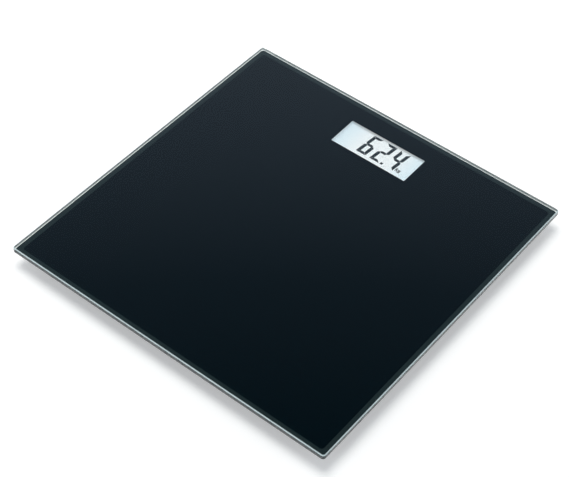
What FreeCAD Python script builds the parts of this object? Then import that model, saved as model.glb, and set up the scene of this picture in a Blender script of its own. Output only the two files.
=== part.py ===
import FreeCAD, Part
import math
import os
import re
import Sketcher
from FreeCAD import Placement, Rotation, Vector

# A digital bathroom scale: a square toughened-glass platform, printed black on its underside, that
# stands on four round feet. Each foot presses on a stamped steel load cell in a holder glued to the
# glass. A shallow housing, glued behind a clear window near the back edge, holds the display, the
# circuit board, a coin cell behind a quarter-turn cover, and a button that changes the unit.
# Millimetres. The origin is on the floor under the centre of the platform, +Z is up, and the
# display is towards +Y.

# Driving dimensions, each one a cell of the spreadsheet.
CELLS = {
    # Glass platform and the layers printed on its underside
    "platform_width": 300,
    "platform_depth": 300,
    "glass_thickness": 5,
    "corner_radius": 2.5,
    "edge_chamfer": 0.8,
    "print_thickness": 0.1,
    "print_margin": 1.2,
    "border_width": 4.3,
    # Display window
    "window_width": 73,
    "window_depth": 29,
    "window_back_margin": 21.5,
    "gasket_width": 2.2,
    "gasket_setback": 0.4,
    "gasket_thickness": 0.5,
    # Liquid crystal cell
    "lcd_overlap_side": 3.5,
    "lcd_overlap_back": 3,
    "lcd_overlap_front": 4.5,
    "lcd_glass_thickness": 1.1,
    "lcd_gap": 0.1,
    "lcd_seal_width": 1.2,
    "contact_ledge": 3,
    "polarizer_thickness": 0.2,
    "polarizer_inset": 0.6,
    "reflector_thickness": 0.25,
    # Frame that carries the display on the board
    "frame_wall": 2,
    "frame_clearance": 0.2,
    "frame_floor": 1.25,
    "frame_ledge": 1.5,
    "connector_thickness": 1.8,
    "connector_end_margin": 4,
    "frame_side_room": 6,
    # Circuit board
    "board_thickness": 1.2,
    "board_front_strip": 4.3,
    "board_gap": 1,
    "screw_inset": 2.4,
    "screw_radius": 1,
    "screw_head_radius": 1.9,
    "screw_head_height": 1.2,
    "screw_depth": 2.2,
    "screw_clearance": 0.05,
    "post_radius": 2.6,
    "blob_radius": 4.5,
    "blob_height": 1.2,
    "blob_side_offset": 6,
    "chip_side_offset": 24,
    "chip_pitch": 4,
    "chip_row_start": 6,
    "chip_row_pitch": 5,
    # Electronics housing
    "floor_clearance": 3,
    "housing_wall": 1.8,
    "housing_floor": 1.6,
    "housing_corner": 8,
    "housing_flange": 4,
    "flange_thickness": 1.4,
    "housing_tape_thickness": 0.5,
    "tape_setback": 0.4,
    "display_back_gap": 1,
    # Coin cell, its contacts and its cover
    "coin_radius": 10,
    "coin_height": 3.2,
    "coin_play": 0.3,
    "coin_edge": 0.3,
    "coin_step": 1.3,
    "coin_base_rise": 0.2,
    "coin_side_offset": 22,
    "well_wall": 1.4,
    "well_gap": 0.5,
    "well_board_gap": 1.3,
    "well_wing_gap": 1.8,
    "lip_thickness": 1,
    "seal_thickness": 0.5,
    "seal_width": 2.2,
    "cover_head": 0.9,
    "cover_rim": 2.7,
    "cover_gap": 0.3,
    "neck_wall": 0.7,
    "lug_reach": 1.3,
    "lug_width": 5.5,
    "lug_height": 0.85,
    "lug_count": 3,
    "cover_turn": 45,
    "coin_slot_length": 16,
    "coin_slot_width": 2.2,
    "coin_slot_depth": 0.5,
    "running_gap": 0.05,
    "contact_sheet": 0.3,
    "contact_rise": 0.8,
    "finger_reach": 4,
    "finger_foot": 3,
    "finger_knee": 8,
    "positive_contact_width": 8,
    "negative_contact_width": 5,
    "solder_tab": 2.4,
    # Unit button and its switch
    "button_side_offset": 24,
    "button_radius": 4.5,
    "button_gap": 0.2,
    "button_proud": 0.4,
    "button_travel": 0.4,
    "button_flange": 1.5,
    "button_flange_thickness": 0.65,
    "button_dish": 2.2,
    "button_dish_depth": 0.4,
    "stem_radius": 1.6,
    "stem_length": 0.45,
    "switch_size": 6,
    "switch_height": 1,
    "plunger_radius": 1.2,
    "plunger_gap": 0.1,
    "plunger_proud": 0.5,
    # Feet
    "foot_inset": 42,
    "foot_travel": 0.5,
    "pad_height": 3.4,
    "pad_chamfer": 0.8,
    "pad_proud": 1.4,
    "pad_gap": 0.3,
    "groove_count": 3,
    "groove_start": 2.6,
    "groove_pitch": 3.6,
    "groove_width": 1.2,
    "groove_depth": 0.6,
    "cap_wall": 2.4,
    "cap_web": 1.4,
    "cap_skirt": 1.8,
    "cap_flange": 2.2,
    "cap_flange_thickness": 1.2,
    "cap_gap": 0.4,
    "cap_rib_width": 1.2,
    "cap_rib_drop": 0.3,
    "cap_rib_count": 6,
    "boss_radius": 3.6,
    "boss_root_radius": 5,
    "pin_radius": 1.9,
    "pin_height": 0.6,
    "clip_radius": 3.8,
    "clip_thickness": 0.35,
    "clip_slit_count": 3,
    "clip_slit_width": 0.7,
    "clip_slit_reach": 3,
    # Foot holders, glued to the glass
    "foot_tape_thickness": 0.6,
    "foot_tape_bore": 8,
    "holder_flange": 2.8,
    "holder_flange_thickness": 1.2,
    "holder_wall": 1.6,
    "holder_roof": 1.6,
    "lip_height": 1.2,
    "lip_gap": 0.6,
    "cap_lift": 0.1,
    "rib_radius": 14.4,
    "rib_width": 2,
    "rib_height": 1.3,
    "ledge_count": 4,
    "ledge_reach": 1.6,
    "ledge_width": 6,
    "ledge_thickness": 0.8,
    # Load cells
    "cell_size": 32,
    "cell_thickness": 1.4,
    "cell_corner": 6,
    "cell_gap": 0.4,
    "cell_slot": 1.6,
    "tongue_width": 14.8,
    "tongue_root": 9,
    "tongue_tip": 8.9,
    "pin_hole_gap": 0.2,
    "gauge_length": 5,
    "gauge_width": 6,
    "gauge_thickness": 0.15,
    "gauge_offset": 4.6,
    "sealant_height": 0.55,
    # Sensor leads and the covers that hold them against the glass
    "lead_radius": 0.45,
    "lead_pitch": 1.2,
    "lead_drop": 0.9,
    "lead_rise_start": 4,
    "lead_rise_length": 4.4,
    "lead_bend_gap": 3,
    "lead_bend_reach": 2.4,
    "rear_entry_shift": 6,
    "landing_inset": 2.6,
    "landing_front": 1.8,
    "solder_height": 0.5,
    "solder_radius": 0.55,
    "lead_notch_width": 5,
    "lead_notch_depth": 1.1,
    "holder_notch_width": 6.6,
    "holder_notch_radius": 13,
    "holder_notch_lift": 0.2,
    "channel_width": 6.2,
    "channel_height": 2.4,
    "channel_wall": 0.8,
    "channel_bevel": 0.6,
    "channel_end_gap": 0.3,
    # How far a rib, slit or notch runs into or past the face that it ends at
    "overrun": 0.5,
}

# Length, width and height of the small parts in each row on the board
CHIP_SIZES = [(1.6, 0.8, 0.5), (2, 1.25, 0.9)]
CHIPS_IN_ROW = 6

# Names for levels and places that several pieces share, worked out from the cells.
DERIVED = {
    # The stack under the window sets the overall height, from the housing's floor up
    "floor_top": "floor_clearance + housing_floor",
    "button_flange_top": "floor_top + button_flange_thickness",
    "plunger_bottom": "button_flange_top + stem_length",
    "switch_bottom": "plunger_bottom + plunger_proud",
    "board_bottom": "switch_bottom + switch_height",
    "board_top": "board_bottom + board_thickness",
    "reflector_bottom": "board_top + frame_floor",
    "rear_glass_bottom": "reflector_bottom + reflector_thickness",
    "rear_glass_top": "rear_glass_bottom + lcd_glass_thickness",
    "front_glass_bottom": "rear_glass_top + lcd_gap",
    "front_glass_top": "front_glass_bottom + lcd_glass_thickness",
    "polarizer_top": "front_glass_top + polarizer_thickness",
    "print_bottom": "polarizer_top + gasket_thickness",
    "glass_bottom": "print_bottom + print_thickness",
    "border_edge": "print_margin + border_width",
    # Display in plan
    "window_back": "platform_depth / 2 - window_back_margin",
    "window_front": "window_back - window_depth",
    "lcd_width": "window_width + 2 * lcd_overlap_side",
    "lcd_back": "window_back + lcd_overlap_back",
    "lcd_front": "window_front - lcd_overlap_front",
    "rear_glass_front": "lcd_front + contact_ledge",
    "frame_side": "frame_wall + frame_clearance",
    "frame_front": "lcd_front - frame_side",
    "frame_back": "lcd_back + frame_side",
    "frame_half": "lcd_width / 2 + frame_side",
    "connector_middle": "(lcd_front + rear_glass_front) / 2 - frame_clearance / 2",
    # Coin cell: everything is set out round its axis, in front of the board
    "cup_radius": "coin_radius + coin_play",
    "neck_radius": "cup_radius + neck_wall",
    "lug_radius": "neck_radius + lug_reach",
    "well_bore": "lug_radius + well_gap",
    "well_radius": "well_bore + well_wall",
    "board_front": "frame_front - board_front_strip",
    "coin_x": "-coin_side_offset",
    "coin_y": "board_front - well_board_gap - well_radius",
    "cover_radius": "neck_radius + cover_rim",
    "counterbore_radius": "cover_radius + cover_gap",
    "head_top": "floor_clearance + cover_head",
    "seal_top": "head_top + seal_thickness",
    "lip_level": "seal_top + lip_thickness",
    "lug_bottom": "lip_level + running_gap",
    "neck_top": "lug_bottom + lug_height",
    "coin_bottom": "seal_top + 2 * running_gap",
    "coin_top": "coin_bottom + coin_height",
    "well_top": "board_top + contact_rise",
    "guide_bottom": "neck_top + cover_gap",
    # Housing and board in plan, round the display's frame and the coin well
    "housing_top": "print_bottom - housing_tape_thickness",
    "cavity_half": "frame_half + frame_side_room",
    "cavity_back": "frame_back + display_back_gap",
    "cavity_front": "coin_y - well_radius - well_gap",
    "housing_half": "cavity_half + housing_wall",
    "housing_back": "cavity_back + housing_wall",
    "housing_front": "cavity_front - housing_wall",
    "board_half": "cavity_half - board_gap",
    "board_back": "cavity_back - board_gap / 2",
    "wing_front": "cavity_front + board_gap",
    "wing_edge": "coin_x + well_radius + well_wing_gap",
    "board_corner": "housing_corner - housing_wall - board_gap / 2",
    "screw_side": "board_half - screw_inset",
    "screw_back": "board_back - screw_inset - screw_head_radius",
    "screw_left_front": "board_front + 4 * screw_inset",
    "screw_right_front": "wing_front + screw_inset + screw_head_radius",
    "blob_curve": "(blob_radius^2 + blob_height^2) / (2 * blob_height)",
    # Unit button
    "button_x": "button_side_offset",
    "button_y": "coin_y",
    "button_hole": "button_radius + button_gap",
    "button_flange_radius": "button_radius + button_flange",
    # Load cells, in holders that hang from the glass
    "foot_x": "platform_width / 2 - foot_inset",
    "foot_y": "platform_depth / 2 - foot_inset",
    "holder_top": "print_bottom - foot_tape_thickness",
    "roof_bottom": "holder_top - holder_roof",
    "cell_top": "roof_bottom - rib_height",
    "cell_bottom": "cell_top - cell_thickness",
    "cell_reach": "cell_size / sqrt(2) - cell_corner * (sqrt(2) - 1)",
    "holder_bore": "cell_reach + cell_gap",
    "holder_radius": "holder_bore + holder_wall",
    "holder_flange_radius": "holder_radius + holder_flange",
    # Feet, under the load cells
    "cap_flange_top": "cell_bottom - foot_travel - cap_gap",
    "cap_flange_bottom": "cap_flange_top - cap_flange_thickness",
    "lip_top": "cap_flange_bottom - cap_lift",
    "holder_bottom": "lip_top - lip_height",
    "cap_flange_radius": "holder_bore - ledge_reach - cap_gap",
    "cap_radius": "cap_flange_radius - cap_flange",
    "lip_radius": "cap_radius + lip_gap",
    "recess_radius": "cap_radius - cap_wall",
    "pad_radius": "recess_radius - pad_gap",
    "web_top": "pad_height + cap_web",
    "skirt_bore": "cap_radius - cap_skirt",
    # Leads: straight from each foot to a bend just outside the housing's flange
    "lead_level": "print_bottom - lead_drop",
    "gauge_end": "gauge_offset + gauge_length",
    "lead_start_level": "cell_top + lead_radius + running_gap",
    "front_bend_x": "housing_half - housing_corner",
    "front_bend_y": "housing_front - housing_flange - lead_bend_gap",
    "rear_bend_x": "housing_half + housing_flange + lead_bend_gap",
    "rear_bend_y": "(window_front + window_back) / 2 - rear_entry_shift",
    "front_landing_y": "board_front + landing_front",
    "rear_landing_x": "cavity_half - landing_inset",
}

SIDES = {"left": -1, "right": 1}
ENDS = {"front": -1, "rear": 1}
CORNERS = [(f"{end}_{side}", SIDES[side], end) for end in ENDS for side in SIDES]

doc = FreeCAD.newDocument("bathroom_scale")
sheet = doc.addObject("Spreadsheet::Sheet", "sizes")
for row, (alias, number) in enumerate(CELLS.items(), start=1):
    sheet.set(f"A{row}", alias)
    sheet.set(f"B{row}", str(number))
    sheet.setAlias(f"B{row}", alias)
doc.recompute()

NODES = []


def formula(text):
    """Writes a formula in cell and derived names as a FreeCAD expression."""

    def expand(match):
        word = match.group(0)
        if word in DERIVED:
            return "(" + formula(DERIVED[word]) + ")"
        return "sizes." + word if word in CELLS else word

    return re.sub(r"[a-z_]+[a-z0-9_]*", expand, str(text))


def value(text):
    """The number that a formula gives now."""
    found = sheet.evalExpression(formula(text))
    return float(getattr(found, "Value", found))


def bind(thing, path, text):
    """Ties one property to a formula."""
    thing.setExpression(path, formula(text))


def place(thing, x="0", y="0", z="0", turn=None):
    """Ties a piece's placement to formulas; turn is degrees about Z."""
    thing.Placement = Placement(Vector(0, 0, 0), Rotation(Vector(0, 0, 1), 1))
    for axis, text in (("x", x), ("y", y), ("z", z)):
        bind(thing, "Placement.Base." + axis, text)
    bind(thing, "Placement.Rotation.Angle", turn or "0")
    return thing


def node(thing):
    """Lists a piece as one of the scale's own sub-parts."""
    NODES.append(thing)
    return thing


def body(label, *where, turn=None):
    """A new PartDesign body in its place, listed as a sub-part."""
    made = doc.addObject("PartDesign::Body", label)
    made.Label = label
    return node(place(made, *where, turn=turn))


# Sketches


def sketch(owner, plane="XY_Plane", level="0", turn=0):
    """A sketch on one of the body's own planes, raised along its normal to a level."""
    drawn = owner.newObject("Sketcher::SketchObject", owner.Label + "_sketch")
    drawn.AttachmentSupport = [
        (next(f for f in owner.Origin.OriginFeatures if f.Role == plane), "")
    ]
    drawn.MapMode = "FlatFace"
    drawn.AttachmentOffset = Placement(Vector(0, 0, 0), Rotation(Vector(0, 0, 1), turn))
    bind(drawn, "AttachmentOffset.Base.z", level)
    return drawn


def fix_point(drawn, element, corner, x, y):
    """Ties a point of a sketch to two formulas, measured from the sketch's origin."""
    for kind, axis, text in (("DistanceX", -2, x), ("DistanceY", -1, y)):
        if str(text) == "0":
            drawn.addConstraint(Sketcher.Constraint("PointOnObject", element, corner, axis))
            continue
        made = drawn.addConstraint(
            Sketcher.Constraint(kind, -1, 1, element, corner, value(text))
        )
        bind(drawn, f"Constraints[{made}]", text)


def polygon(drawn, corners):
    """A closed outline of straight edges through corners given as pairs of formulas."""
    points = [Vector(value(x), value(y), 0) for x, y in corners]
    count = len(points)
    first = drawn.GeometryCount
    for i in range(count):
        drawn.addGeometry(Part.LineSegment(points[i], points[(i + 1) % count]))
    for i in range(count):
        drawn.addConstraint(
            Sketcher.Constraint("Coincident", first + i, 2, first + (i + 1) % count, 1)
        )
    for i, (x, y) in enumerate(corners):
        fix_point(drawn, first + i, 1, x, y)
    return drawn


def rectangle(drawn, x_low, x_high, y_low, y_high):
    """A rectangle between two pairs of formulas."""
    return polygon(
        drawn, [(x_low, y_low), (x_high, y_low), (x_high, y_high), (x_low, y_high)]
    )


def circle(drawn, radius, x="0", y="0"):
    """A circle of a given radius about a point."""
    centre = Vector(value(x), value(y), 0)
    made = drawn.addGeometry(Part.Circle(centre, Vector(0, 0, 1), value(radius)))
    size = drawn.addConstraint(Sketcher.Constraint("Radius", made, value(radius)))
    bind(drawn, f"Constraints[{size}]", radius)
    fix_point(drawn, made, 3, x, y)
    return drawn


def rounded_rectangle(drawn, x_low, x_high, y_low, y_high, radius):
    """A rectangle whose four corners are tangent arcs of one radius."""
    left, right, low, high = (value(t) for t in (x_low, x_high, y_low, y_high))
    r = value(radius)
    first = drawn.GeometryCount
    runs = [
        ((left + r, low), (right - r, low)),
        ((right, low + r), (right, high - r)),
        ((right - r, high), (left + r, high)),
        ((left, high - r), (left, low + r)),
    ]
    centres = [(right - r, low + r), (right - r, high - r), (left + r, high - r), (left + r, low + r)]
    for i, ((start, end), centre) in enumerate(zip(runs, centres)):
        drawn.addGeometry(Part.LineSegment(Vector(*start, 0), Vector(*end, 0)))
        ring = Part.Circle(Vector(*centre, 0), Vector(0, 0, 1), r)
        begin = (i - 1) * math.pi / 2
        drawn.addGeometry(Part.ArcOfCircle(ring, begin, begin + math.pi / 2))
    for i in range(4):
        line = first + 2 * i
        drawn.addConstraint(Sketcher.Constraint("Tangent", line, 2, line + 1, 1))
        drawn.addConstraint(Sketcher.Constraint("Tangent", line + 1, 2, first + (2 * i + 2) % 8, 1))
        drawn.addConstraint(Sketcher.Constraint("Vertical" if i % 2 else "Horizontal", line))
        if i:
            drawn.addConstraint(Sketcher.Constraint("Equal", first + 1, line + 1))
    size = drawn.addConstraint(Sketcher.Constraint("Radius", first + 1, r))
    bind(drawn, f"Constraints[{size}]", radius)
    for kind, line, text in (
        ("DistanceY", 0, y_low),
        ("DistanceX", 2, x_high),
        ("DistanceY", 4, y_high),
        ("DistanceX", 6, x_low),
    ):
        made = drawn.addConstraint(
            Sketcher.Constraint(kind, -1, 1, first + line, 1, value(text))
        )
        bind(drawn, f"Constraints[{made}]", text)
    return drawn


# Features


def finish(owner, feature):
    """Recomputes a new feature and makes it the body's tip."""
    owner.Tip = feature
    doc.recompute()
    if not feature.isValid() or feature.Shape.isNull():
        raise RuntimeError(f"{owner.Label}: {feature.Name} failed")
    return feature


def pad(owner, drawn, length):
    """Adds material from a sketch along its normal."""
    feature = owner.newObject("PartDesign::Pad", "Pad")
    feature.Profile = drawn
    bind(feature, "Length", length)
    drawn.Visibility = False
    return finish(owner, feature)


def pocket(owner, drawn, length, upward=False):
    """Cuts from a sketch against its normal, or along it if upward."""
    before = owner.Shape.Volume
    feature = owner.newObject("PartDesign::Pocket", "Pocket")
    feature.Profile = drawn
    feature.Reversed = upward
    bind(feature, "Length", length)
    finish(owner, feature)
    if feature.Shape.Volume >= before:
        raise RuntimeError(f"{owner.Label}: a pocket cuts nothing")
    return feature


def revolve(owner, corners):
    """Turns an outline of (radius, height) corners about the body's Z axis."""
    drawn = polygon(sketch(owner, "XZ_Plane"), corners)
    feature = owner.newObject("PartDesign::Revolution", "Revolution")
    feature.Profile = drawn
    feature.ReferenceAxis = (drawn, ["V_Axis"])
    feature.Angle = 360
    return finish(owner, feature)


def polar(owner, feature, count):
    """Repeats a feature round the Z axis of its sketch."""
    pattern = owner.newObject("PartDesign::PolarPattern", "PolarPattern")
    pattern.Originals = [feature]
    pattern.Axis = (feature.Profile[0], ["N_Axis"])
    pattern.Angle = 360
    bind(pattern, "Occurrences", count)
    return finish(owner, pattern)


def dress(owner, kind, size, wanted):
    """Fillets or chamfers the tip's edges for which wanted(edge) is true."""
    tip = owner.Tip
    chosen = [f"Edge{i}" for i, edge in enumerate(tip.Shape.Edges, 1) if wanted(edge)]
    if not chosen:
        raise RuntimeError(f"{owner.Label}: no edge to dress")
    feature = owner.newObject("PartDesign::" + kind, kind)
    feature.Base = (tip, chosen)
    bind(feature, "Radius" if kind == "Fillet" else "Size", size)
    return finish(owner, feature)


def upright(edge):
    """True for a straight edge along Z."""
    return len(edge.Vertexes) == 2 and abs(edge.tangentAt(edge.FirstParameter).z) > 0.99


def level_with(height):
    """A test for edges that lie flat at a height of their own body."""
    z = value(height)
    return lambda edge: abs(edge.BoundBox.ZMin - z) < 1e-4 and edge.BoundBox.ZLength < 1e-4


def box(name, lows, highs):
    """A Part box between two corners given as formulas."""
    made = doc.addObject("Part::Box", name)
    for size, low, high in zip(("Length", "Width", "Height"), lows, highs):
        bind(made, size, f"({high}) - ({low})")
    return place(made, *lows)


def cylinder(name, radius, x, y, low, high):
    """An upright Part cylinder."""
    made = doc.addObject("Part::Cylinder", name)
    bind(made, "Radius", radius)
    bind(made, "Height", f"({high}) - ({low})")
    return place(made, x, y, low)


def group(label, pieces):
    """Several separate solids that share one node."""
    made = doc.addObject("Part::Compound", label)
    made.Label = label
    made.Links = pieces
    return node(made)


# Where the leads run


def lead_turn(side, end):
    """Formulas for a foot's x and y, and the angle and length of its lead to the housing."""
    x = f"{side} * foot_x"
    y = f"{ENDS[end]} * foot_y"
    run_x = f"({side} * {end}_bend_x - {x})"
    run_y = f"({end}_bend_y - {y})"
    return x, y, f"atan2({run_y}; {run_x})", f"sqrt({run_x}^2 + {run_y}^2)"


# Glass platform


def glass_platform():
    """The toughened plate: rounded corners, and a ground chamfer round both faces."""
    glass = body("glass_platform", "0", "0", "glass_bottom")
    half_width, half_depth = "platform_width / 2", "platform_depth / 2"
    outline = sketch(glass)
    rounded_rectangle(
        outline, "-" + half_width, half_width, "-" + half_depth, half_depth, "corner_radius"
    )
    pad(glass, outline, "glass_thickness")
    flat_low, flat_high = level_with("0"), level_with("glass_thickness")
    dress(glass, "Chamfer", "edge_chamfer", lambda edge: flat_low(edge) or flat_high(edge))


def inset_outline(drawn, inset, radius):
    """The platform's outline drawn in by an inset."""
    x, y = f"(platform_width / 2 - ({inset}))", f"(platform_depth / 2 - ({inset}))"
    return rounded_rectangle(drawn, "-" + x, x, "-" + y, y, radius)


def printed_layers():
    """The black field, with its clear window, and the grey line printed round it."""
    field = body("backing_print", "0", "0", "print_bottom")
    outline = inset_outline(sketch(field), "border_edge", "corner_radius")
    rectangle(outline, "-window_width / 2", "window_width / 2", "window_front", "window_back")
    pad(field, outline, "print_thickness")
    border = body("border_print", "0", "0", "print_bottom")
    ring = inset_outline(sketch(border), "print_margin", "corner_radius")
    inset_outline(ring, "border_edge", "corner_radius")
    pad(border, ring, "print_thickness")


# Display


def display_cell():
    """Two sheets of glass with a seal between them, a polarizer on top and a reflector below."""
    half = "lcd_width / 2"

    def sheet_of(label, low, high, front, inset="0"):
        piece = body(label, "0", "0", low)
        drawn = sketch(piece)
        rectangle(
            drawn, f"-({half} - {inset})", f"{half} - {inset}", f"{front} + {inset}", f"lcd_back - {inset}"
        )
        pad(piece, drawn, f"({high}) - ({low})")
        return piece

    sheet_of(
        "lcd_front_polarizer", "front_glass_top", "polarizer_top", "rear_glass_front", "polarizer_inset"
    )
    sheet_of("lcd_front_glass", "front_glass_bottom", "front_glass_top", "lcd_front")
    sheet_of("lcd_rear_glass", "rear_glass_bottom", "rear_glass_top", "rear_glass_front")
    sheet_of(
        "lcd_reflector", "reflector_bottom", "rear_glass_bottom", "rear_glass_front", "polarizer_inset"
    )
    seal = body("lcd_edge_seal", "0", "0", "rear_glass_top")
    ring = sketch(seal)
    rectangle(ring, "-" + half, half, "rear_glass_front", "lcd_back")
    rectangle(
        ring,
        f"-({half} - lcd_seal_width)",
        f"{half} - lcd_seal_width",
        "rear_glass_front + lcd_seal_width",
        "lcd_back - lcd_seal_width",
    )
    pad(seal, ring, "lcd_gap")


def window_gasket():
    """A foam ring that closes the space between the window and the display."""
    gasket = body("window_gasket", "0", "0", "polarizer_top")
    ring = sketch(gasket)
    for reach in ("gasket_setback", "gasket_setback + gasket_width"):
        side = f"(window_width / 2 + {reach})"
        rectangle(ring, "-" + side, side, f"window_front - ({reach})", f"window_back + {reach}")
    pad(gasket, ring, "gasket_thickness")


def display_frame():
    """The moulded tray that carries the display on the board, stepped for its two sheets of glass."""
    frame = body("lcd_frame", "0", "0", "board_top")
    half = "frame_half"
    drawn = rectangle(sketch(frame), "-" + half, half, "frame_front", "frame_back")
    pad(frame, drawn, "front_glass_top - board_top")
    steps = [
        ("front_glass_top", "front_glass_bottom", "lcd_front", "frame_clearance"),
        ("front_glass_bottom", "reflector_bottom", "rear_glass_front", "frame_clearance"),
        ("reflector_bottom", "board_top", "rear_glass_front", "-frame_ledge"),
    ]
    for top, bottom, front, grow in steps:
        side = f"(lcd_width / 2 + {grow})"
        hollow = sketch(frame, level=f"{top} - board_top")
        rectangle(hollow, "-" + side, side, f"{front} - ({grow})", f"lcd_back + {grow}")
        pocket(frame, hollow, f"{top} - ({bottom})")
    slot = sketch(frame, level="front_glass_bottom - board_top")
    connector_outline(slot, "running_gap")
    pocket(frame, slot, "front_glass_bottom - board_top")


def connector_outline(drawn, gap):
    """The display connector's footprint, grown by a gap."""
    half = f"(lcd_width / 2 - connector_end_margin + {gap})"
    reach = f"(connector_thickness / 2 + {gap})"
    return rectangle(
        drawn, "-" + half, half, f"connector_middle - {reach}", f"connector_middle + {reach}"
    )


def display_connector():
    """The striped rubber strip that joins the front glass's ledge to the board."""
    strip = body("lcd_connector_strip", "0", "0", "board_top")
    pad(strip, connector_outline(sketch(strip), "0"), "front_glass_bottom - board_top")


# Circuit board

SCREWS = [
    ("-screw_side", "screw_back"),
    ("screw_side", "screw_back"),
    ("-screw_side", "screw_left_front"),
    ("screw_side", "screw_right_front"),
]


def circuit_board():
    """An L-shaped board: the display's part, and a wing beside the coin cell for the switch."""
    board = body("main_board", "0", "0", "board_bottom")
    outline = polygon(
        sketch(board),
        [
            ("-board_half", "board_front"),
            ("wing_edge", "board_front"),
            ("wing_edge", "wing_front"),
            ("board_half", "wing_front"),
            ("board_half", "board_back"),
            ("-board_half", "board_back"),
        ],
    )
    for x, y in SCREWS:
        circle(outline, "screw_radius + 3 * screw_clearance", x, y)
    pad(board, outline, "board_thickness")
    outer = value("board_half")
    dress(
        board,
        "Fillet",
        "board_corner",
        lambda edge: upright(edge) and abs(abs(edge.Vertexes[0].X) - outer) < 1e-4,
    )


def board_screws():
    """Four pan-head screws through the board into the housing's posts."""
    made = []
    for x, y in SCREWS:
        head = cylinder(
            "screw_head", "screw_head_radius", x, y, "board_top", "board_top + screw_head_height"
        )
        shank = cylinder(
            "screw_shank", "screw_radius", x, y, "board_bottom - screw_depth", "board_top"
        )
        screw = doc.addObject("Part::Fuse", "screw")
        screw.Base = head
        screw.Tool = shank
        made.append(screw)
    group("board_screws", made)


def controller_blob():
    """The controller chip under a dome of resin, on the board's underside."""
    blob = doc.addObject("Part::Sphere", "controller_blob")
    blob.Label = "controller_blob"
    bind(blob, "Radius", "blob_curve")
    bind(blob, "Angle1", "asin(1 - blob_height / blob_curve)")
    blob.Placement.Rotation = Rotation(Vector(1, 0, 0), 180)
    bind(blob, "Placement.Base.x", "blob_side_offset")
    bind(blob, "Placement.Base.y", "(window_front + window_back) / 2")
    bind(blob, "Placement.Base.z", "board_bottom + blob_curve - blob_height")
    node(blob)


def board_components():
    """Rows of small parts on the board's underside."""
    chips = []
    for row, (length, width, tall) in enumerate(CHIP_SIZES):
        for column in range(CHIPS_IN_ROW):
            x = f"{column} * chip_pitch - chip_side_offset"
            y = f"window_front + chip_row_start + {row} * chip_row_pitch"
            lows = (x, y, f"board_bottom - {tall}")
            chips.append(box("chip", lows, (f"{x} + {length}", f"{y} + {width}", "board_bottom")))
    group("board_components", chips)


# Electronics housing


def housing_outline(drawn, grow):
    """The housing's outline in plan, grown or drawn in by a formula."""
    side = f"(housing_half + {grow})"
    return rounded_rectangle(
        drawn,
        "-" + side,
        side,
        f"housing_front - ({grow})",
        f"housing_back + {grow}",
        f"housing_corner + {grow}",
    )


def lead_notches(owner, level, depth):
    """Cuts the four ways in for the sensor leads, from a level down."""
    half = "lead_notch_width / 2"
    cut = sketch(owner, level=level)
    inner = "(cavity_half - housing_wall)"
    outer = "(rear_bend_x - lead_bend_gap / 2)"
    low, high = f"rear_bend_y - {half}", f"rear_bend_y + {half}"
    rectangle(cut, "-" + outer, "-" + inner, low, high)
    rectangle(cut, inner, outer, low, high)
    for side in SIDES.values():
        middle = f"{side} * front_bend_x"
        rectangle(
            cut,
            f"{middle} - {half}",
            f"{middle} + {half}",
            "front_bend_y + lead_bend_gap / 2",
            "cavity_front + housing_wall",
        )
    return pocket(owner, cut, depth)


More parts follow.
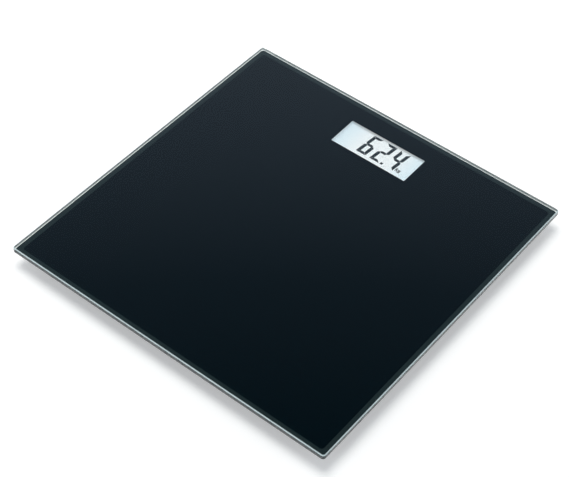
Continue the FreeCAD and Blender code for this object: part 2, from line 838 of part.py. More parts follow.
def electronics_housing():
    """One open-topped moulding: tray, glue flange, screw posts, coin well, cover seat, button hole."""
    housing = body("electronics_housing", "0", "0", "floor_clearance")

    def at(level):
        return sketch(housing, level=f"({level}) - floor_clearance")

    pad(housing, housing_outline(at("floor_clearance"), "0"), "housing_top - floor_clearance")
    dress(housing, "Fillet", "housing_floor", level_with("0"))
    flange = housing_outline(at("housing_top - flange_thickness"), "housing_flange")
    pad(housing, flange, "flange_thickness")
    pocket(housing, housing_outline(at("housing_top"), "-housing_wall"), "housing_top - floor_top")
    # Screw posts, with blind holes
    posts = at("floor_top")
    holes = at("board_bottom")
    for x, y in SCREWS:
        circle(posts, "post_radius", x, y)
        circle(holes, "screw_radius + screw_clearance", x, y)
    pad(housing, posts, "board_bottom - floor_top")
    pocket(housing, holes, "screw_depth + running_gap")
    # Coin well: a thick seat, a round wall, and four guides that hold the cell upright
    seat = circle(at("floor_top"), "well_radius + well_wall", "coin_x", "coin_y")
    pad(housing, seat, "lip_level - floor_top")
    wall = circle(at("lip_level"), "well_radius", "coin_x", "coin_y")
    circle(wall, "well_bore", "coin_x", "coin_y")
    pad(housing, wall, "well_top - lip_level")
    guides = at("guide_bottom")
    for side_x in SIDES.values():
        for side_y in SIDES.values():
            near = "coin_radius * sqrt(0.5) + coin_play"
            far = "(well_bore + well_wall / 2) * sqrt(0.5)"
            corners = [(near, near), (far, near), (far, far), (near, far)]
            polygon(
                guides,
                [
                    (f"coin_x + {side_x} * ({x})", f"coin_y + {side_y} * ({y})")
                    for x, y in corners
                ],
            )
    pad(housing, guides, "well_top - guide_bottom")
    # The positive contact reaches the cell through a gap in the wall
    gap = at("well_top")
    reach = "(positive_contact_width / 2 + cover_gap)"
    rectangle(
        gap,
        f"coin_x - {reach}",
        f"coin_x + {reach}",
        "coin_y + coin_radius - coin_play",
        "coin_y + well_radius + cover_gap",
    )
    pocket(housing, gap, "well_top - guide_bottom")
    # Seat for the cover's head and seal, the lip its lugs hook behind, and the gaps they pass
    pocket(
        housing,
        circle(at("floor_clearance"), "counterbore_radius", "coin_x", "coin_y"),
        "seal_top - floor_clearance",
        upward=True,
    )
    pocket(
        housing,
        circle(at("seal_top"), "neck_radius + cover_gap", "coin_x", "coin_y"),
        "lip_thickness",
        upward=True,
    )
    gaps = at("seal_top")
    for number in range(CELLS["lug_count"]):
        bearing = f"({number} * 360 / lug_count - cover_turn)"
        polygon(gaps, [around_coin(bearing, x, y) for x, y in lug_corners("cover_gap")])
    pocket(housing, gaps, "lip_thickness", upward=True)
    # Button hole in a shallow dish
    dish = circle(at("floor_clearance"), "button_hole + button_dish", "button_x", "button_y")
    pocket(housing, dish, "button_dish_depth", upward=True)
    hole = circle(at("floor_clearance"), "button_hole", "button_x", "button_y")
    pocket(housing, hole, "housing_floor", upward=True)
    lead_notches(housing, "housing_top - floor_clearance", "lead_notch_depth")


def lug_corners(gap):
    """Corners of one bayonet lug in plan, pointing along X, grown by a gap."""
    near, far = "(neck_radius - neck_wall / 2)", f"(lug_radius + {gap} / 2)"
    half = f"(lug_width / 2 + {gap})"
    return [(near, "-" + half), (far, "-" + half), (far, half), (near, half)]


def around_coin(bearing, x, y):
    """A point given about the coin cell's axis, turned by a bearing in degrees."""
    return (
        f"coin_x + ({x}) * cos({bearing}) - ({y}) * sin({bearing})",
        f"coin_y + ({x}) * sin({bearing}) + ({y}) * cos({bearing})",
    )


def housing_tape():
    """Double-sided tape between the housing's flange and the printed glass."""
    tape = body("housing_tape", "0", "0", "housing_top")
    ring = housing_outline(sketch(tape), "housing_flange - tape_setback")
    housing_outline(ring, "-housing_wall + tape_setback")
    pad(tape, ring, "housing_tape_thickness")
    lead_notches(tape, "housing_tape_thickness", "housing_tape_thickness")


# Coin cell and its cover


def coin_cell():
    """A 3 V lithium cell, 20 mm across and 3.2 mm thick: a stepped can round a smaller base."""
    cell = body("coin_cell", "coin_x", "coin_y", "coin_bottom")
    revolve(
        cell,
        [
            ("0", "0"),
            ("coin_radius - coin_edge", "0"),
            ("coin_radius", "coin_edge"),
            ("coin_radius", "coin_height - coin_base_rise - coin_edge"),
            ("coin_radius - coin_edge", "coin_height - coin_base_rise"),
            ("coin_radius - coin_step", "coin_height - coin_base_rise"),
            ("coin_radius - coin_step", "coin_height"),
            ("0", "coin_height"),
        ],
    )


def battery_contacts():
    """Two bent sheet contacts: one bears on the cell's rim, one springs on its inner face."""
    positive = body("battery_positive_contact", "coin_x", "coin_y", "0")
    bend = "(board_front - coin_y + running_gap)"
    sheet_top = "(well_top + contact_sheet)"
    profile = sketch(positive, "YZ_Plane", level="-positive_contact_width / 2")
    polygon(
        profile,
        [
            ("coin_radius", "guide_bottom + running_gap"),
            ("coin_radius + contact_sheet", "guide_bottom + running_gap"),
            ("coin_radius + contact_sheet", "well_top"),
            (bend, "well_top"),
            (bend, "board_top"),
            (f"{bend} + solder_tab", "board_top"),
            (f"{bend} + solder_tab", "board_top + contact_sheet"),
            (f"{bend} + contact_sheet", "board_top + contact_sheet"),
            (f"{bend} + contact_sheet", sheet_top),
            ("coin_radius", sheet_top),
        ],
    )
    pad(positive, profile, "positive_contact_width")
    negative = body("battery_negative_contact", "coin_x", "coin_y", "0")
    drop = "(wing_edge - coin_x + 2 * contact_sheet)"
    heel = "(finger_foot - finger_reach)"
    profile = sketch(negative, "XZ_Plane", level="-negative_contact_width / 2")
    polygon(
        profile,
        [
            ("-finger_reach", "coin_top"),
            (heel, "coin_top"),
            ("finger_knee", "well_top"),
            (drop, "well_top"),
            (drop, "board_top"),
            (f"{drop} + solder_tab", "board_top"),
            (f"{drop} + solder_tab", "board_top + contact_sheet"),
            (f"{drop} + contact_sheet", "board_top + contact_sheet"),
            (f"{drop} + contact_sheet", sheet_top),
            ("finger_knee - contact_sheet / 4", sheet_top),
            (heel, "coin_top + contact_sheet"),
            ("-finger_reach", "coin_top + contact_sheet"),
        ],
    )
    pad(negative, profile, "negative_contact_width")


def battery_cover():
    """A quarter-turn cover: flush head with a coin slot, cup for the cell, three bayonet lugs."""
    cover = body("battery_cover", "coin_x", "coin_y", "0")
    revolve(
        cover,
        [
            ("0", "floor_clearance"),
            ("cover_radius", "floor_clearance"),
            ("cover_radius", "head_top"),
            ("neck_radius", "head_top"),
            ("neck_radius", "neck_top"),
            ("cup_radius", "neck_top"),
            ("cup_radius", "coin_bottom"),
            ("0", "coin_bottom"),
        ],
    )
    dress(cover, "Chamfer", "cover_gap", level_with("floor_clearance"))
    lug = polygon(sketch(cover, level="lug_bottom"), lug_corners("0"))
    polar(cover, pad(cover, lug, "lug_height"), "lug_count")
    slot = sketch(cover, level="floor_clearance")
    rounded_rectangle(
        slot,
        "-coin_slot_length / 2",
        "coin_slot_length / 2",
        "-coin_slot_width / 2",
        "coin_slot_width / 2",
        "coin_slot_width / 2 - running_gap",
    )
    pocket(cover, slot, "coin_slot_depth", upward=True)
    seal = body("battery_seal", "coin_x", "coin_y", "head_top")
    ring = circle(sketch(seal), "neck_radius + running_gap + seal_width")
    circle(ring, "neck_radius + running_gap")
    pad(seal, ring, "seal_thickness - running_gap")


# Unit button


def unit_button():
    """A round button held in by a flange; its stem meets the plunger of a switch on the board."""
    button = body("unit_button", "button_x", "button_y", "0")
    face = "floor_clearance - button_proud"
    revolve(
        button,
        [
            ("0", face),
            ("button_radius", face),
            ("button_radius", "floor_top"),
            ("button_flange_radius", "floor_top"),
            ("button_flange_radius", "button_flange_top"),
            ("stem_radius", "button_flange_top"),
            ("stem_radius", "plunger_bottom"),
            ("0", "plunger_bottom"),
        ],
    )
    dress(button, "Fillet", "button_proud", level_with(face))
    half = "switch_size / 2"
    switch = body("unit_switch", "button_x", "button_y", "switch_bottom")
    outline = rectangle(sketch(switch), "-" + half, half, "-" + half, half)
    circle(outline, "plunger_radius + plunger_gap")
    pad(switch, outline, "switch_height")
    plunger = body("switch_plunger", "button_x", "button_y", "plunger_bottom")
    reach = "plunger_proud + switch_height - button_travel - plunger_gap"
    pad(plunger, circle(sketch(plunger), "plunger_radius"), reach)


# Feet


def foot_holder(corner, x, y, turn):
    """A cup glued to the glass: a lip keeps the foot in, a ring and four ledges grip the load cell."""
    holder = body("foot_holder_" + corner, x, y, "0", turn=turn)
    rib_inner, rib_outer = "rib_radius - rib_width / 2", "rib_radius + rib_width / 2"
    flange_bottom = "holder_top - holder_flange_thickness"
    revolve(
        holder,
        [
            ("0", "holder_top"),
            ("holder_flange_radius", "holder_top"),
            ("holder_flange_radius", flange_bottom),
            ("holder_radius", flange_bottom),
            ("holder_radius", "holder_bottom"),
            ("lip_radius", "holder_bottom"),
            ("lip_radius", "lip_top"),
            ("holder_bore", "lip_top"),
            ("holder_bore", "roof_bottom"),
            (rib_outer, "roof_bottom"),
            (rib_outer, "cell_top"),
            (rib_inner, "cell_top"),
            (rib_inner, "roof_bottom"),
            ("0", "roof_bottom"),
        ],
    )
    ledge = sketch(holder, level="cell_bottom - ledge_thickness", turn=45)
    half = "ledge_width / 2"
    rectangle(ledge, "holder_bore - ledge_reach", "holder_bore + holder_wall / 2", "-" + half, half)
    polar(holder, pad(holder, ledge, "ledge_thickness"), "ledge_count")
    notch = sketch(holder, level="holder_top")
    half = "holder_notch_width / 2"
    rectangle(notch, "holder_notch_radius", "holder_flange_radius + overrun", "-" + half, half)
    pocket(holder, notch, "holder_top - cell_top - holder_notch_lift")


def foot_tape(x, y, turn):
    """A ring of foam tape between holder and glass, open where the leads come out."""
    ring = cylinder("tape_disc", "holder_flange_radius - tape_setback", x, y, "holder_top", "print_bottom")
    bore = cylinder("tape_bore", "foot_tape_bore", x, y, "holder_top", "print_bottom")
    opening = doc.addObject("Part::Box", "tape_opening")
    bind(opening, "Length", "holder_flange_radius")
    bind(opening, "Width", "holder_notch_width")
    bind(opening, "Height", "foot_tape_thickness")
    half = "holder_notch_width / 2"
    place(
        opening,
        f"{x} + holder_notch_radius * cos({turn}) + {half} * sin({turn})",
        f"{y} + holder_notch_radius * sin({turn}) - {half} * cos({turn})",
        "holder_top",
        turn=turn,
    )
    for tool in (bore, opening):
        cut = doc.addObject("Part::Cut", "tape")
        cut.Base = ring
        cut.Tool = tool
        ring = cut
    return ring


def load_cell(corner, x, y, turn):
    """A stamped steel plate: a U-shaped slot frees a tongue, which the foot bends by its pin."""
    cell = body("load_cell_" + corner, x, y, "cell_bottom", turn=turn)
    half = "cell_size / 2"
    plate = rounded_rectangle(sketch(cell), "-" + half, half, "-" + half, half, "cell_corner")
    circle(plate, "pin_radius + pin_hole_gap")
    pad(cell, plate, "cell_thickness")
    inner, outer = "(tongue_width / 2)", "(tongue_width / 2 + cell_slot)"
    slot = polygon(
        sketch(cell),
        [
            ("tongue_root", "-" + outer),
            ("tongue_root", "-" + inner),
            ("-tongue_tip", "-" + inner),
            ("-tongue_tip", inner),
            ("tongue_root", inner),
            ("tongue_root", outer),
            ("-tongue_tip - cell_slot", outer),
            ("-tongue_tip - cell_slot", "-" + outer),
        ],
    )
    pocket(cell, slot, "cell_thickness", upward=True)


def on_tongue(name, x, y, turn, low, high):
    """A block on the root of a load cell's tongue, over the strain gauge's footprint."""
    made = doc.addObject("Part::Box", name)
    bind(made, "Length", "gauge_length")
    bind(made, "Width", "gauge_width")
    bind(made, "Height", f"({high}) - ({low})")
    half = "gauge_width / 2"
    return place(
        made,
        f"{x} + gauge_offset * cos({turn}) + {half} * sin({turn})",
        f"{y} + gauge_offset * sin({turn}) - {half} * cos({turn})",
        low,
        turn=turn,
    )


def foot(corner, x, y):
    """The moving foot: a ribbed cap with its pin, a grooved rubber pad, and a spring clip."""
    cap = body("foot_cap_" + corner, x, y, "0")
    revolve(
        cap,
        [
            ("0", "cell_top + pin_height"),
            ("pin_radius", "cell_top + pin_height"),
            ("pin_radius", "cell_bottom"),
            ("boss_radius", "cell_bottom"),
            ("boss_root_radius", "cap_flange_top"),
            ("boss_root_radius", "web_top"),
            ("skirt_bore", "web_top"),
            ("skirt_bore", "cap_flange_top"),
            ("cap_flange_radius", "cap_flange_top"),
            ("cap_flange_radius", "cap_flange_bottom"),
            ("cap_radius", "cap_flange_bottom"),
            ("cap_radius", "pad_proud"),
            ("recess_radius", "pad_proud"),
            ("recess_radius", "pad_height"),
            ("0", "pad_height"),
        ],
    )
    half = "cap_rib_width / 2"
    rib = sketch(cap, level="web_top")
    rectangle(rib, "boss_root_radius - overrun", "skirt_bore + overrun", "-" + half, half)
    polar(cap, pad(cap, rib, "cap_flange_top - web_top - cap_rib_drop"), "cap_rib_count")
    sole = body("foot_pad_" + corner, x, y, "0")
    profile = [
        ("0", "pad_height"),
        ("pad_radius", "pad_height"),
        ("pad_radius", "pad_chamfer"),
        ("pad_radius - pad_chamfer", "0"),
    ]
    for ring in reversed(range(CELLS["groove_count"])):
        outer = f"groove_start + {ring} * groove_pitch + groove_width / 2"
        inner = f"groove_start + {ring} * groove_pitch - groove_width / 2"
        profile += [(outer, "0"), (outer, "groove_depth"), (inner, "groove_depth"), (inner, "0")]
    revolve(sole, profile + [("0", "0")])
    clip = body("foot_clip_" + corner, x, y, "cell_top")
    washer = circle(sketch(clip), "clip_radius")
    circle(washer, "pin_radius + running_gap")
    pad(clip, washer, "clip_thickness")
    slit = sketch(clip, level="clip_thickness")
    half = "clip_slit_width / 2"
    rectangle(slit, "pin_radius - overrun", "clip_slit_reach", "-" + half, half)
    polar(clip, pocket(clip, slit, "clip_thickness"), "clip_slit_count")


# Sensor leads


def wire_cover(corner, x, y, turn, length):
    """A channel moulding glued to the glass over a foot's leads."""
    cover = body("wire_cover_" + corner, x, y, "0", turn=turn)
    start = "holder_flange_radius + channel_end_gap"
    stop = f"{length} - lead_bend_gap - channel_end_gap"
    profile = sketch(cover, "YZ_Plane", level=start)
    low = "(print_bottom - channel_height)"
    half, inner = "(channel_width / 2)", "(channel_width / 2 - channel_wall)"
    polygon(
        profile,
        [
            ("-" + half, "print_bottom"),
            ("-" + half, low + " + channel_bevel"),
            (f"-({half} - channel_bevel)", low),
            (f"{half} - channel_bevel", low),
            (half, low + " + channel_bevel"),
            (half, "print_bottom"),
            (inner, "print_bottom"),
            (inner, low + " + channel_wall"),
            ("-" + inner, low + " + channel_wall"),
            ("-" + inner, "print_bottom"),
        ],
    )
    pad(cover, profile, f"({stop}) - ({start})")


def beside(route, offset):
    """A plan route moved sideways by an offset, mitred at its bends."""
    headings = [(b - a).normalize() for a, b in zip(route, route[1:])]
    headings = [headings[0]] + headings + [headings[-1]]
    moved = []
    for point, before, after in zip(route, headings, headings[1:]):
        along = (before + after).normalize()
        across = Vector(-along.y, along.x, 0)
        moved.append(point + across * (offset / along.dot(after)))
    return moved


def rounded_path(points, share=0.45, flat=math.radians(0.5)):
    """Straight runs joined by tangent arcs; each takes a set reach, or a share of a shorter run."""
    edges = []
    longest = value("lead_bend_reach")
    last = points[0]
    for before, corner, after in zip(points, points[1:], points[2:]):
        run_in, run_out = corner - before, after - corner
        if run_in.getAngle(run_out) < flat:
            continue
        reach = min(longest, share * run_in.Length, share * run_out.Length)
        start = corner - run_in.normalize() * reach
        end = corner + run_out.normalize() * reach
        half_turn = run_in.getAngle(run_out) / 2
        inward = (run_out - run_in).normalize()
        radius = reach / math.tan(half_turn)
        middle = corner + inward * (radius / math.cos(half_turn) - radius)
        edges.append(Part.LineSegment(last, start).toShape())
        edges.append(Part.Arc(start, middle, end).toShape())
        last = end
    edges.append(Part.LineSegment(last, points[-1]).toShape())
    return Part.Wire(edges)


def lead_routes(side, end):
    """The three leads of one foot, as lists of points from the gauge to the board."""
    x, y, turn, _ = lead_turn(side, end)
    foot_centre = Vector(value(x), value(y), 0)
    heading = Rotation(Vector(0, 0, 1), value(turn)).multVec(Vector(1, 0, 0))
    gauge_end, rise = value("gauge_end"), value("gauge_end + lead_rise_start")
    bend = Vector(side * value(end + "_bend_x"), value(end + "_bend_y"), 0)
    landing = Vector(bend)
    if end == "front":
        landing.y = value("front_landing_y")
    else:
        landing.x = side * value("rear_landing_x")
    plan = [foot_centre + heading * gauge_end, foot_centre + heading * rise]
    plan += [plan[1] + heading * value("lead_rise_length"), bend, landing]
    low, high = value("lead_start_level"), value("lead_level")
    end_level = value("board_top + solder_height")
    routes = []
    for number in (-1, 0, 1):
        flat = beside(plan, number * value("lead_pitch"))
        raised = [Vector(p.x, p.y, z) for p, z in zip(flat, (low, low, high, high, high))]
        routes.append(raised + [Vector(raised[-1].x, raised[-1].y, end_level)])
    return routes


def sensor_leads(corner, side, end):
    """Three insulated leads, swept along their routes."""
    radius = value("lead_radius")
    solids = []
    for route in lead_routes(side, end):
        path = rounded_path(route)
        start = route[1] - route[0]
        ring = Part.Wire(Part.makeCircle(radius, route[0], start))
        tube = path.makePipeShell([ring], True, True)
        expected = math.pi * radius**2 * path.Length
        if abs(tube.Volume / expected - 1) > 0.02:
            raise RuntimeError(f"lead of {corner}: its volume is not its section times its length")
        solids.append(tube)
    leads = doc.addObject("Part::Feature", "sensor_leads_" + corner)
    leads.Label = "sensor_leads_" + corner
    leads.Shape = Part.makeCompound(solids)
    leads.Placement = Placement()
    node(leads)


def solder_joints():
    """A small cone of solder at the end of each lead."""
    made = []
    for _, side, end in CORNERS:
        for route in lead_routes(side, end):
            joint = doc.addObject("Part::Cone", "solder_joint")
            bind(joint, "Radius1", "solder_radius")
            bind(joint, "Radius2", "lead_radius")
            bind(joint, "Height", "solder_height")
            joint.Placement.Base = Vector(route[-1].x, route[-1].y, value("board_top"))
            made.append(joint)
    group("solder_joints", made)


# Assembly

glass_platform()
printed_layers()
display_cell()
window_gasket()
display_frame()
display_connector()
circuit_board()
board_screws()
controller_blob()
board_components()
electronics_housing()
housing_tape()
coin_cell()
battery_contacts()
battery_cover()
unit_button()
tapes, gauges, sealants = [], [], []
for corner, side, end in CORNERS:
    x, y, turn, length = lead_turn(side, end)
    foot_holder(corner, x, y, turn)
    load_cell(corner, x, y, turn)
    foot(corner, x, y)
    wire_cover(corner, x, y, turn, length)
    sensor_leads(corner, side, end)
    tapes.append(foot_tape(x, y, turn))
    film_top = "cell_top + gauge_thickness"
    gauges.append(on_tongue("gauge", x, y, turn, "cell_top", film_top))
    sealants.append(on_tongue("sealant", x, y, turn, film_top, film_top + " + sealant_height"))
group("foot_tapes", tapes)
group("strain_gauges", gauges)
group("gauge_sealant", sealants)
solder_joints()
doc.recompute()

# Every object and every sub-part is checked before anything is written.
for thing in doc.Objects:
    if "Invalid" in thing.State or "Error" in thing.State:
        raise RuntimeError(f"{thing.Label} is {thing.State}")
for piece in NODES:
    if piece.Shape.isNull() or not piece.Shape.isValid() or not piece.Shape.Solids:
        raise RuntimeError(f"{piece.Label} has no valid solid")
os.makedirs("parts", exist_ok=True)
for piece in NODES:
    piece.Shape.exportStep(f"parts/{piece.Label}.step")
print(len(NODES), "sub-parts written")
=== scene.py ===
import math

import bpy
import mathutils
import numpy as np
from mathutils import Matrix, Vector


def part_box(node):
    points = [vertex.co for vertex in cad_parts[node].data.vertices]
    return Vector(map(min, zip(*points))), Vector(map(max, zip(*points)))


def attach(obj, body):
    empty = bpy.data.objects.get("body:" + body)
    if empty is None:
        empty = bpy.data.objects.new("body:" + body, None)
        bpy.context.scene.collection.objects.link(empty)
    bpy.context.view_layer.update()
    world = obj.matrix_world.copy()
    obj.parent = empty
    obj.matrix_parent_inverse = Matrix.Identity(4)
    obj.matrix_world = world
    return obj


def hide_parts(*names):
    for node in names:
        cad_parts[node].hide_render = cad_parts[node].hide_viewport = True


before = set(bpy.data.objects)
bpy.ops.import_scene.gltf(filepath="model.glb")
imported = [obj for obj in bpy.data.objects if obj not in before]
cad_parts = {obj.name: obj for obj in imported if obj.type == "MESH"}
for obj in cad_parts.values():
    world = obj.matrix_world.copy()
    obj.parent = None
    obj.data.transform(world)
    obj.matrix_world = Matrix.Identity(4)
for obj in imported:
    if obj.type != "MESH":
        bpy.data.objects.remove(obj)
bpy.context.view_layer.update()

MM = 0.001

# --- Glass platform -----------------------------------------------------------------------------
# The plate that is stood on: 5 mm soda-lime glass, toughened after its edges were ground. Its faces
# and sides are polished, and the narrow chamfers keep the pale frost of the grinding belt. The lower
# one is painted dark: painted shade for the shade it lies in above the floor.

glass_low, glass_high = (np.array(corner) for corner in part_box("glass_platform"))
CHAMFER = 0.8 * MM
GLASS_COLOUR = (0.96, 0.99, 0.98, 1)
GLASS_IOR = 1.52
GREEN_TINT = (0.2, 0.72, 0.55, 1)
TINT_DENSITY = 12
GRIND_SPREAD = 0.2
GRIND_ROUGHNESS = 0.35
FROST_SHARE = 0.65
# Share of the painted shade mixed into the lower chamfer.
LOWER_CHAMFER_SHADE_SHARE = 0.7
FROST_COLOUR = (0.66, 0.78, 0.80, 1)
# Colour of the painted shade on the lower chamfer.
LOWER_CHAMFER_SHADE_COLOUR = (0.02, 0.045, 0.05, 1)
LAMP_TINT = (0.93, 0.96, 0.95, 1)


def new_material(name):
    """An empty node material: (material, its tree, its Principled shader)."""
    if name in bpy.data.materials:
        bpy.data.materials[name].name = "cad_" + name
    material = bpy.data.materials.new(name)
    material.use_nodes = True
    return material, material.node_tree, material.node_tree.nodes["Principled BSDF"]


def add(tree, kind, **settings):
    """Adds a node. A setting named in_X sets the input called X, with _ for a space."""
    node = tree.nodes.new(kind)
    for name, value in settings.items():
        if name.startswith("in_"):
            node.inputs[name[3:].replace("_", " ")].default_value = value
        else:
            setattr(node, name, value)
    return node


def maths(tree, operation, *values):
    """A Math node's result. Each value is a number or another node's output."""
    node = add(tree, "ShaderNodeMath", operation=operation)
    for socket, value in zip(node.inputs, values):
        if isinstance(value, (int, float)):
            socket.default_value = value
        else:
            tree.links.new(value, socket)
    return node.outputs[0]


def new_group(name, inputs, outputs):
    """A shader node group: (group, its input node, its output node). Sockets are name: type."""
    group = bpy.data.node_groups.new(name, "ShaderNodeTree")
    for label, kind in inputs.items():
        group.interface.new_socket(label, in_out="INPUT", socket_type="NodeSocket" + kind)
    for label, kind in outputs.items():
        group.interface.new_socket(label, in_out="OUTPUT", socket_type="NodeSocket" + kind)
    return group, group.nodes.new("NodeGroupInput"), group.nodes.new("NodeGroupOutput")


def make_fine_speckle():
    """Fine cloudy specks over the piece's own coordinates, as a mask from 0 to 1."""
    group, given, result = new_group("fine_speckle", {"Scale": "Float"}, {"Mask": "Float"})
    place = add(group, "ShaderNodeTexCoord")
    noise = add(group, "ShaderNodeTexNoise", in_Detail=4)
    spread = add(group, "ShaderNodeMapRange", in_From_Min=0.3, in_From_Max=0.7)
    group.links.new(place.outputs["Object"], noise.inputs["Vector"])
    group.links.new(given.outputs["Scale"], noise.inputs["Scale"])
    group.links.new(noise.outputs["Fac"], spread.inputs["Value"])
    group.links.new(spread.outputs[0], result.inputs["Mask"])
    return group


fine_speckle = make_fine_speckle()


def use(tree, group, **inputs):
    """Puts a node group in a tree. Each input is a number, a tuple or another node's output."""
    node = add(tree, "ShaderNodeGroup", node_tree=group)
    for name, value in inputs.items():
        if isinstance(value, bpy.types.NodeSocket):
            tree.links.new(value, node.inputs[name])
        else:
            node.inputs[name].default_value = value
    return node.outputs


def wear(material, *node_names):
    """Puts a material in every slot of these CAD nodes' objects."""
    for node_name in node_names:
        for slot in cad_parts[node_name].material_slots:
            slot.material = material


def band(tree, value, low, high):
    """1 where a value lies between two limits, else 0."""
    above = maths(tree, "GREATER_THAN", value, low)
    below = maths(tree, "LESS_THAN", value, high)
    return maths(tree, "MULTIPLY", above, below)


def blend_shaders(tree, share, first, second):
    """The second shader by a share, the first by the rest."""
    mix = add(tree, "ShaderNodeMixShader")
    tree.links.new(share, mix.inputs[0])
    tree.links.new(first, mix.inputs[1])
    tree.links.new(second, mix.inputs[2])
    return mix.outputs[0]


def toughened_glass():
    """Clear polished glass, frosted on its chamfers, the lower one darkened by painted shade; lamps shine
    straight through it.
    """
    material, tree, shader = new_material("toughened_glass")
    surface = tree.nodes["Material Output"].inputs["Surface"]
    shader.inputs["Base Color"].default_value = GLASS_COLOUR
    shader.inputs["Transmission Weight"].default_value = 1
    shader.inputs["IOR"].default_value = GLASS_IOR
    place = add(tree, "ShaderNodeTexCoord")
    axes = add(tree, "ShaderNodeSeparateXYZ")
    tree.links.new(place.outputs["Object"], axes.inputs[0])
    fuzz = 0.02 * MM
    top = band(tree, axes.outputs["Z"], glass_high[2] - CHAMFER + fuzz, glass_high[2] - fuzz)
    bottom = band(tree, axes.outputs["Z"], glass_low[2] + fuzz, glass_low[2] + CHAMFER - fuzz)
    grind = use(tree, fine_speckle, Scale=2500)["Mask"]
    rough = maths(tree, "MULTIPLY_ADD", grind, GRIND_SPREAD, GRIND_ROUGHNESS)
    frosted = maths(tree, "MAXIMUM", top, bottom)
    tree.links.new(maths(tree, "MULTIPLY", rough, frosted), shader.inputs["Roughness"])
    ground = add(tree, "ShaderNodeBsdfDiffuse", in_Color=FROST_COLOUR)
    frost = maths(tree, "MULTIPLY_ADD", grind, GRIND_SPREAD, FROST_SHARE)
    haze = maths(tree, "MULTIPLY", frost, top)
    edged = blend_shaders(tree, haze, shader.outputs[0], ground.outputs[0])
    # Painted shade: a dark diffuse colour mixed into the lower chamfer, for the shade it lies in.
    painted_shade = add(tree, "ShaderNodeBsdfDiffuse", in_Color=LOWER_CHAMFER_SHADE_COLOUR)
    shade_share = maths(tree, "MULTIPLY", bottom, LOWER_CHAMFER_SHADE_SHARE)
    edged = blend_shaders(tree, shade_share, edged, painted_shade.outputs[0])
    clear = add(tree, "ShaderNodeBsdfTransparent", in_Color=LAMP_TINT)
    path = add(tree, "ShaderNodeLightPath")
    lit = blend_shaders(tree, path.outputs["Is Shadow Ray"], edged, clear.outputs[0])
    tree.links.new(lit, surface)
    absorb = add(
        tree, "ShaderNodeVolumeAbsorption", in_Color=GREEN_TINT, in_Density=TINT_DENSITY
    )
    tree.links.new(absorb.outputs[0], tree.nodes["Material Output"].inputs["Volume"])
    return material


wear(toughened_glass(), "glass_platform")

# --- Printed layers -----------------------------------------------------------------------------
# Two coats of ceramic ink fired into the underside of the glass: a black field with a clear window
# for the display, and a thin dark grey line that runs round it just inside the edge. The ink has
# melted into the glass, so each coat here reaches a hair above the glass's lower face.

field_low, field_high = (np.array(corner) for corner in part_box("backing_print"))
line_low, line_high = (np.array(corner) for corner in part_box("border_print"))
gasket_low, gasket_high = (np.array(corner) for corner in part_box("window_gasket"))
GASKET_REACH = 2.6 * MM
WINDOW_RADIUS = 0.6 * MM
PRINT_RADIUS = 2.5 * MM
MELT = 0.02 * MM
window_low = gasket_low[:2] + GASKET_REACH
window_high = gasket_high[:2] - GASKET_REACH


def rounded_outline(low, high, radius, steps=8):
    """Corner arcs in plan: centre + radius * (cos t, sin t), t over a quarter turn at each corner."""
    turn = np.linspace(0, math.pi / 2, steps)
    quarter = np.arange(4)[:, None] * math.pi / 2 + turn[None, :]
    side_x = np.array([1, -1, -1, 1])[:, None]
    side_y = np.array([1, 1, -1, -1])[:, None]
    middle, half = (low + high) / 2, (high - low) / 2 - radius
    x = middle[0] + side_x * half[0] + radius * np.cos(quarter)
    y = middle[1] + side_y * half[1] + radius * np.sin(quarter)
    return np.stack([x.ravel(), y.ravel()], axis=1)


def mesh_of(name, points, faces):
    """A mesh object of the given points and faces, at the origin."""
    data = bpy.data.meshes.new(name)
    data.from_pydata(points.tolist(), [], faces)
    piece = bpy.data.objects.new(name, data)
    bpy.context.scene.collection.objects.link(piece)
    return piece


def flat_ring(name, inner, outer, bottom, top):
    """A flat ring between two outlines: a rectangle's four corners carried along both at once."""
    plan = np.stack([inner, outer, outer, inner], axis=1)
    height = np.broadcast_to([bottom, bottom, top, top], plan.shape[:2])
    points = np.concatenate([plan, height[..., None]], axis=2).reshape(-1, 3)
    rows = len(inner)
    row, column = np.meshgrid(np.arange(rows), np.arange(4), indexing="ij")
    below, beside = (row + 1) % rows, (column + 1) % 4
    corners = [row * 4 + column, below * 4 + column, below * 4 + beside, row * 4 + beside]
    return mesh_of(name, points, np.stack(corners, axis=2).reshape(-1, 4).tolist())


def two_tone(tree, mask, dark, light):
    """A colour between two, by a mask."""
    mix = add(tree, "ShaderNodeMix", data_type="RGBA")
    colours = [socket for socket in mix.inputs if socket.type == "RGBA"]
    for socket, colour in zip(colours, (dark, light)):
        socket.default_value = (*colour, 1)
    tree.links.new(mask, mix.inputs[0])
    return next(socket for socket in mix.outputs if socket.type == "RGBA")


def fired_ink(name, dark, light):
    """Ink fused to glass: no shine of its own, with pinhole-fine specks in its colour."""
    material, tree, shader = new_material(name)
    specks = use(tree, fine_speckle, Scale=1200)["Mask"]
    tree.links.new(two_tone(tree, specks, dark, light), shader.inputs["Base Color"])
    tree.links.new(maths(tree, "MULTIPLY_ADD", specks, 0.1, 0.45), shader.inputs["Roughness"])
    shader.inputs["Specular IOR Level"].default_value = 0
    return material


def put_on(piece, material, body):
    """Gives a new piece its material and the body it moves with."""
    piece.data.materials.append(material)
    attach(piece, body)


window = rounded_outline(window_low, window_high, WINDOW_RADIUS)
field_edge = rounded_outline(field_low[:2], field_high[:2], PRINT_RADIUS)
line_edge = rounded_outline(line_low[:2], line_high[:2], PRINT_RADIUS)
print_top = glass_low[2] + MELT

black_field = flat_ring("printed_black_field", window, field_edge, field_low[2], print_top)
black_ink = fired_ink("black_ink", (0.0004, 0.0040, 0.0066), (0.0005, 0.0046, 0.0074))
put_on(black_field, black_ink, "platform")
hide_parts("backing_print")

grey_line = flat_ring("printed_grey_line", field_edge, line_edge, line_low[2], print_top)
grey_ink = fired_ink("grey_ink", (0.017, 0.027, 0.030), (0.021, 0.032, 0.036))
put_on(grey_line, grey_ink, "platform")
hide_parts("border_print")

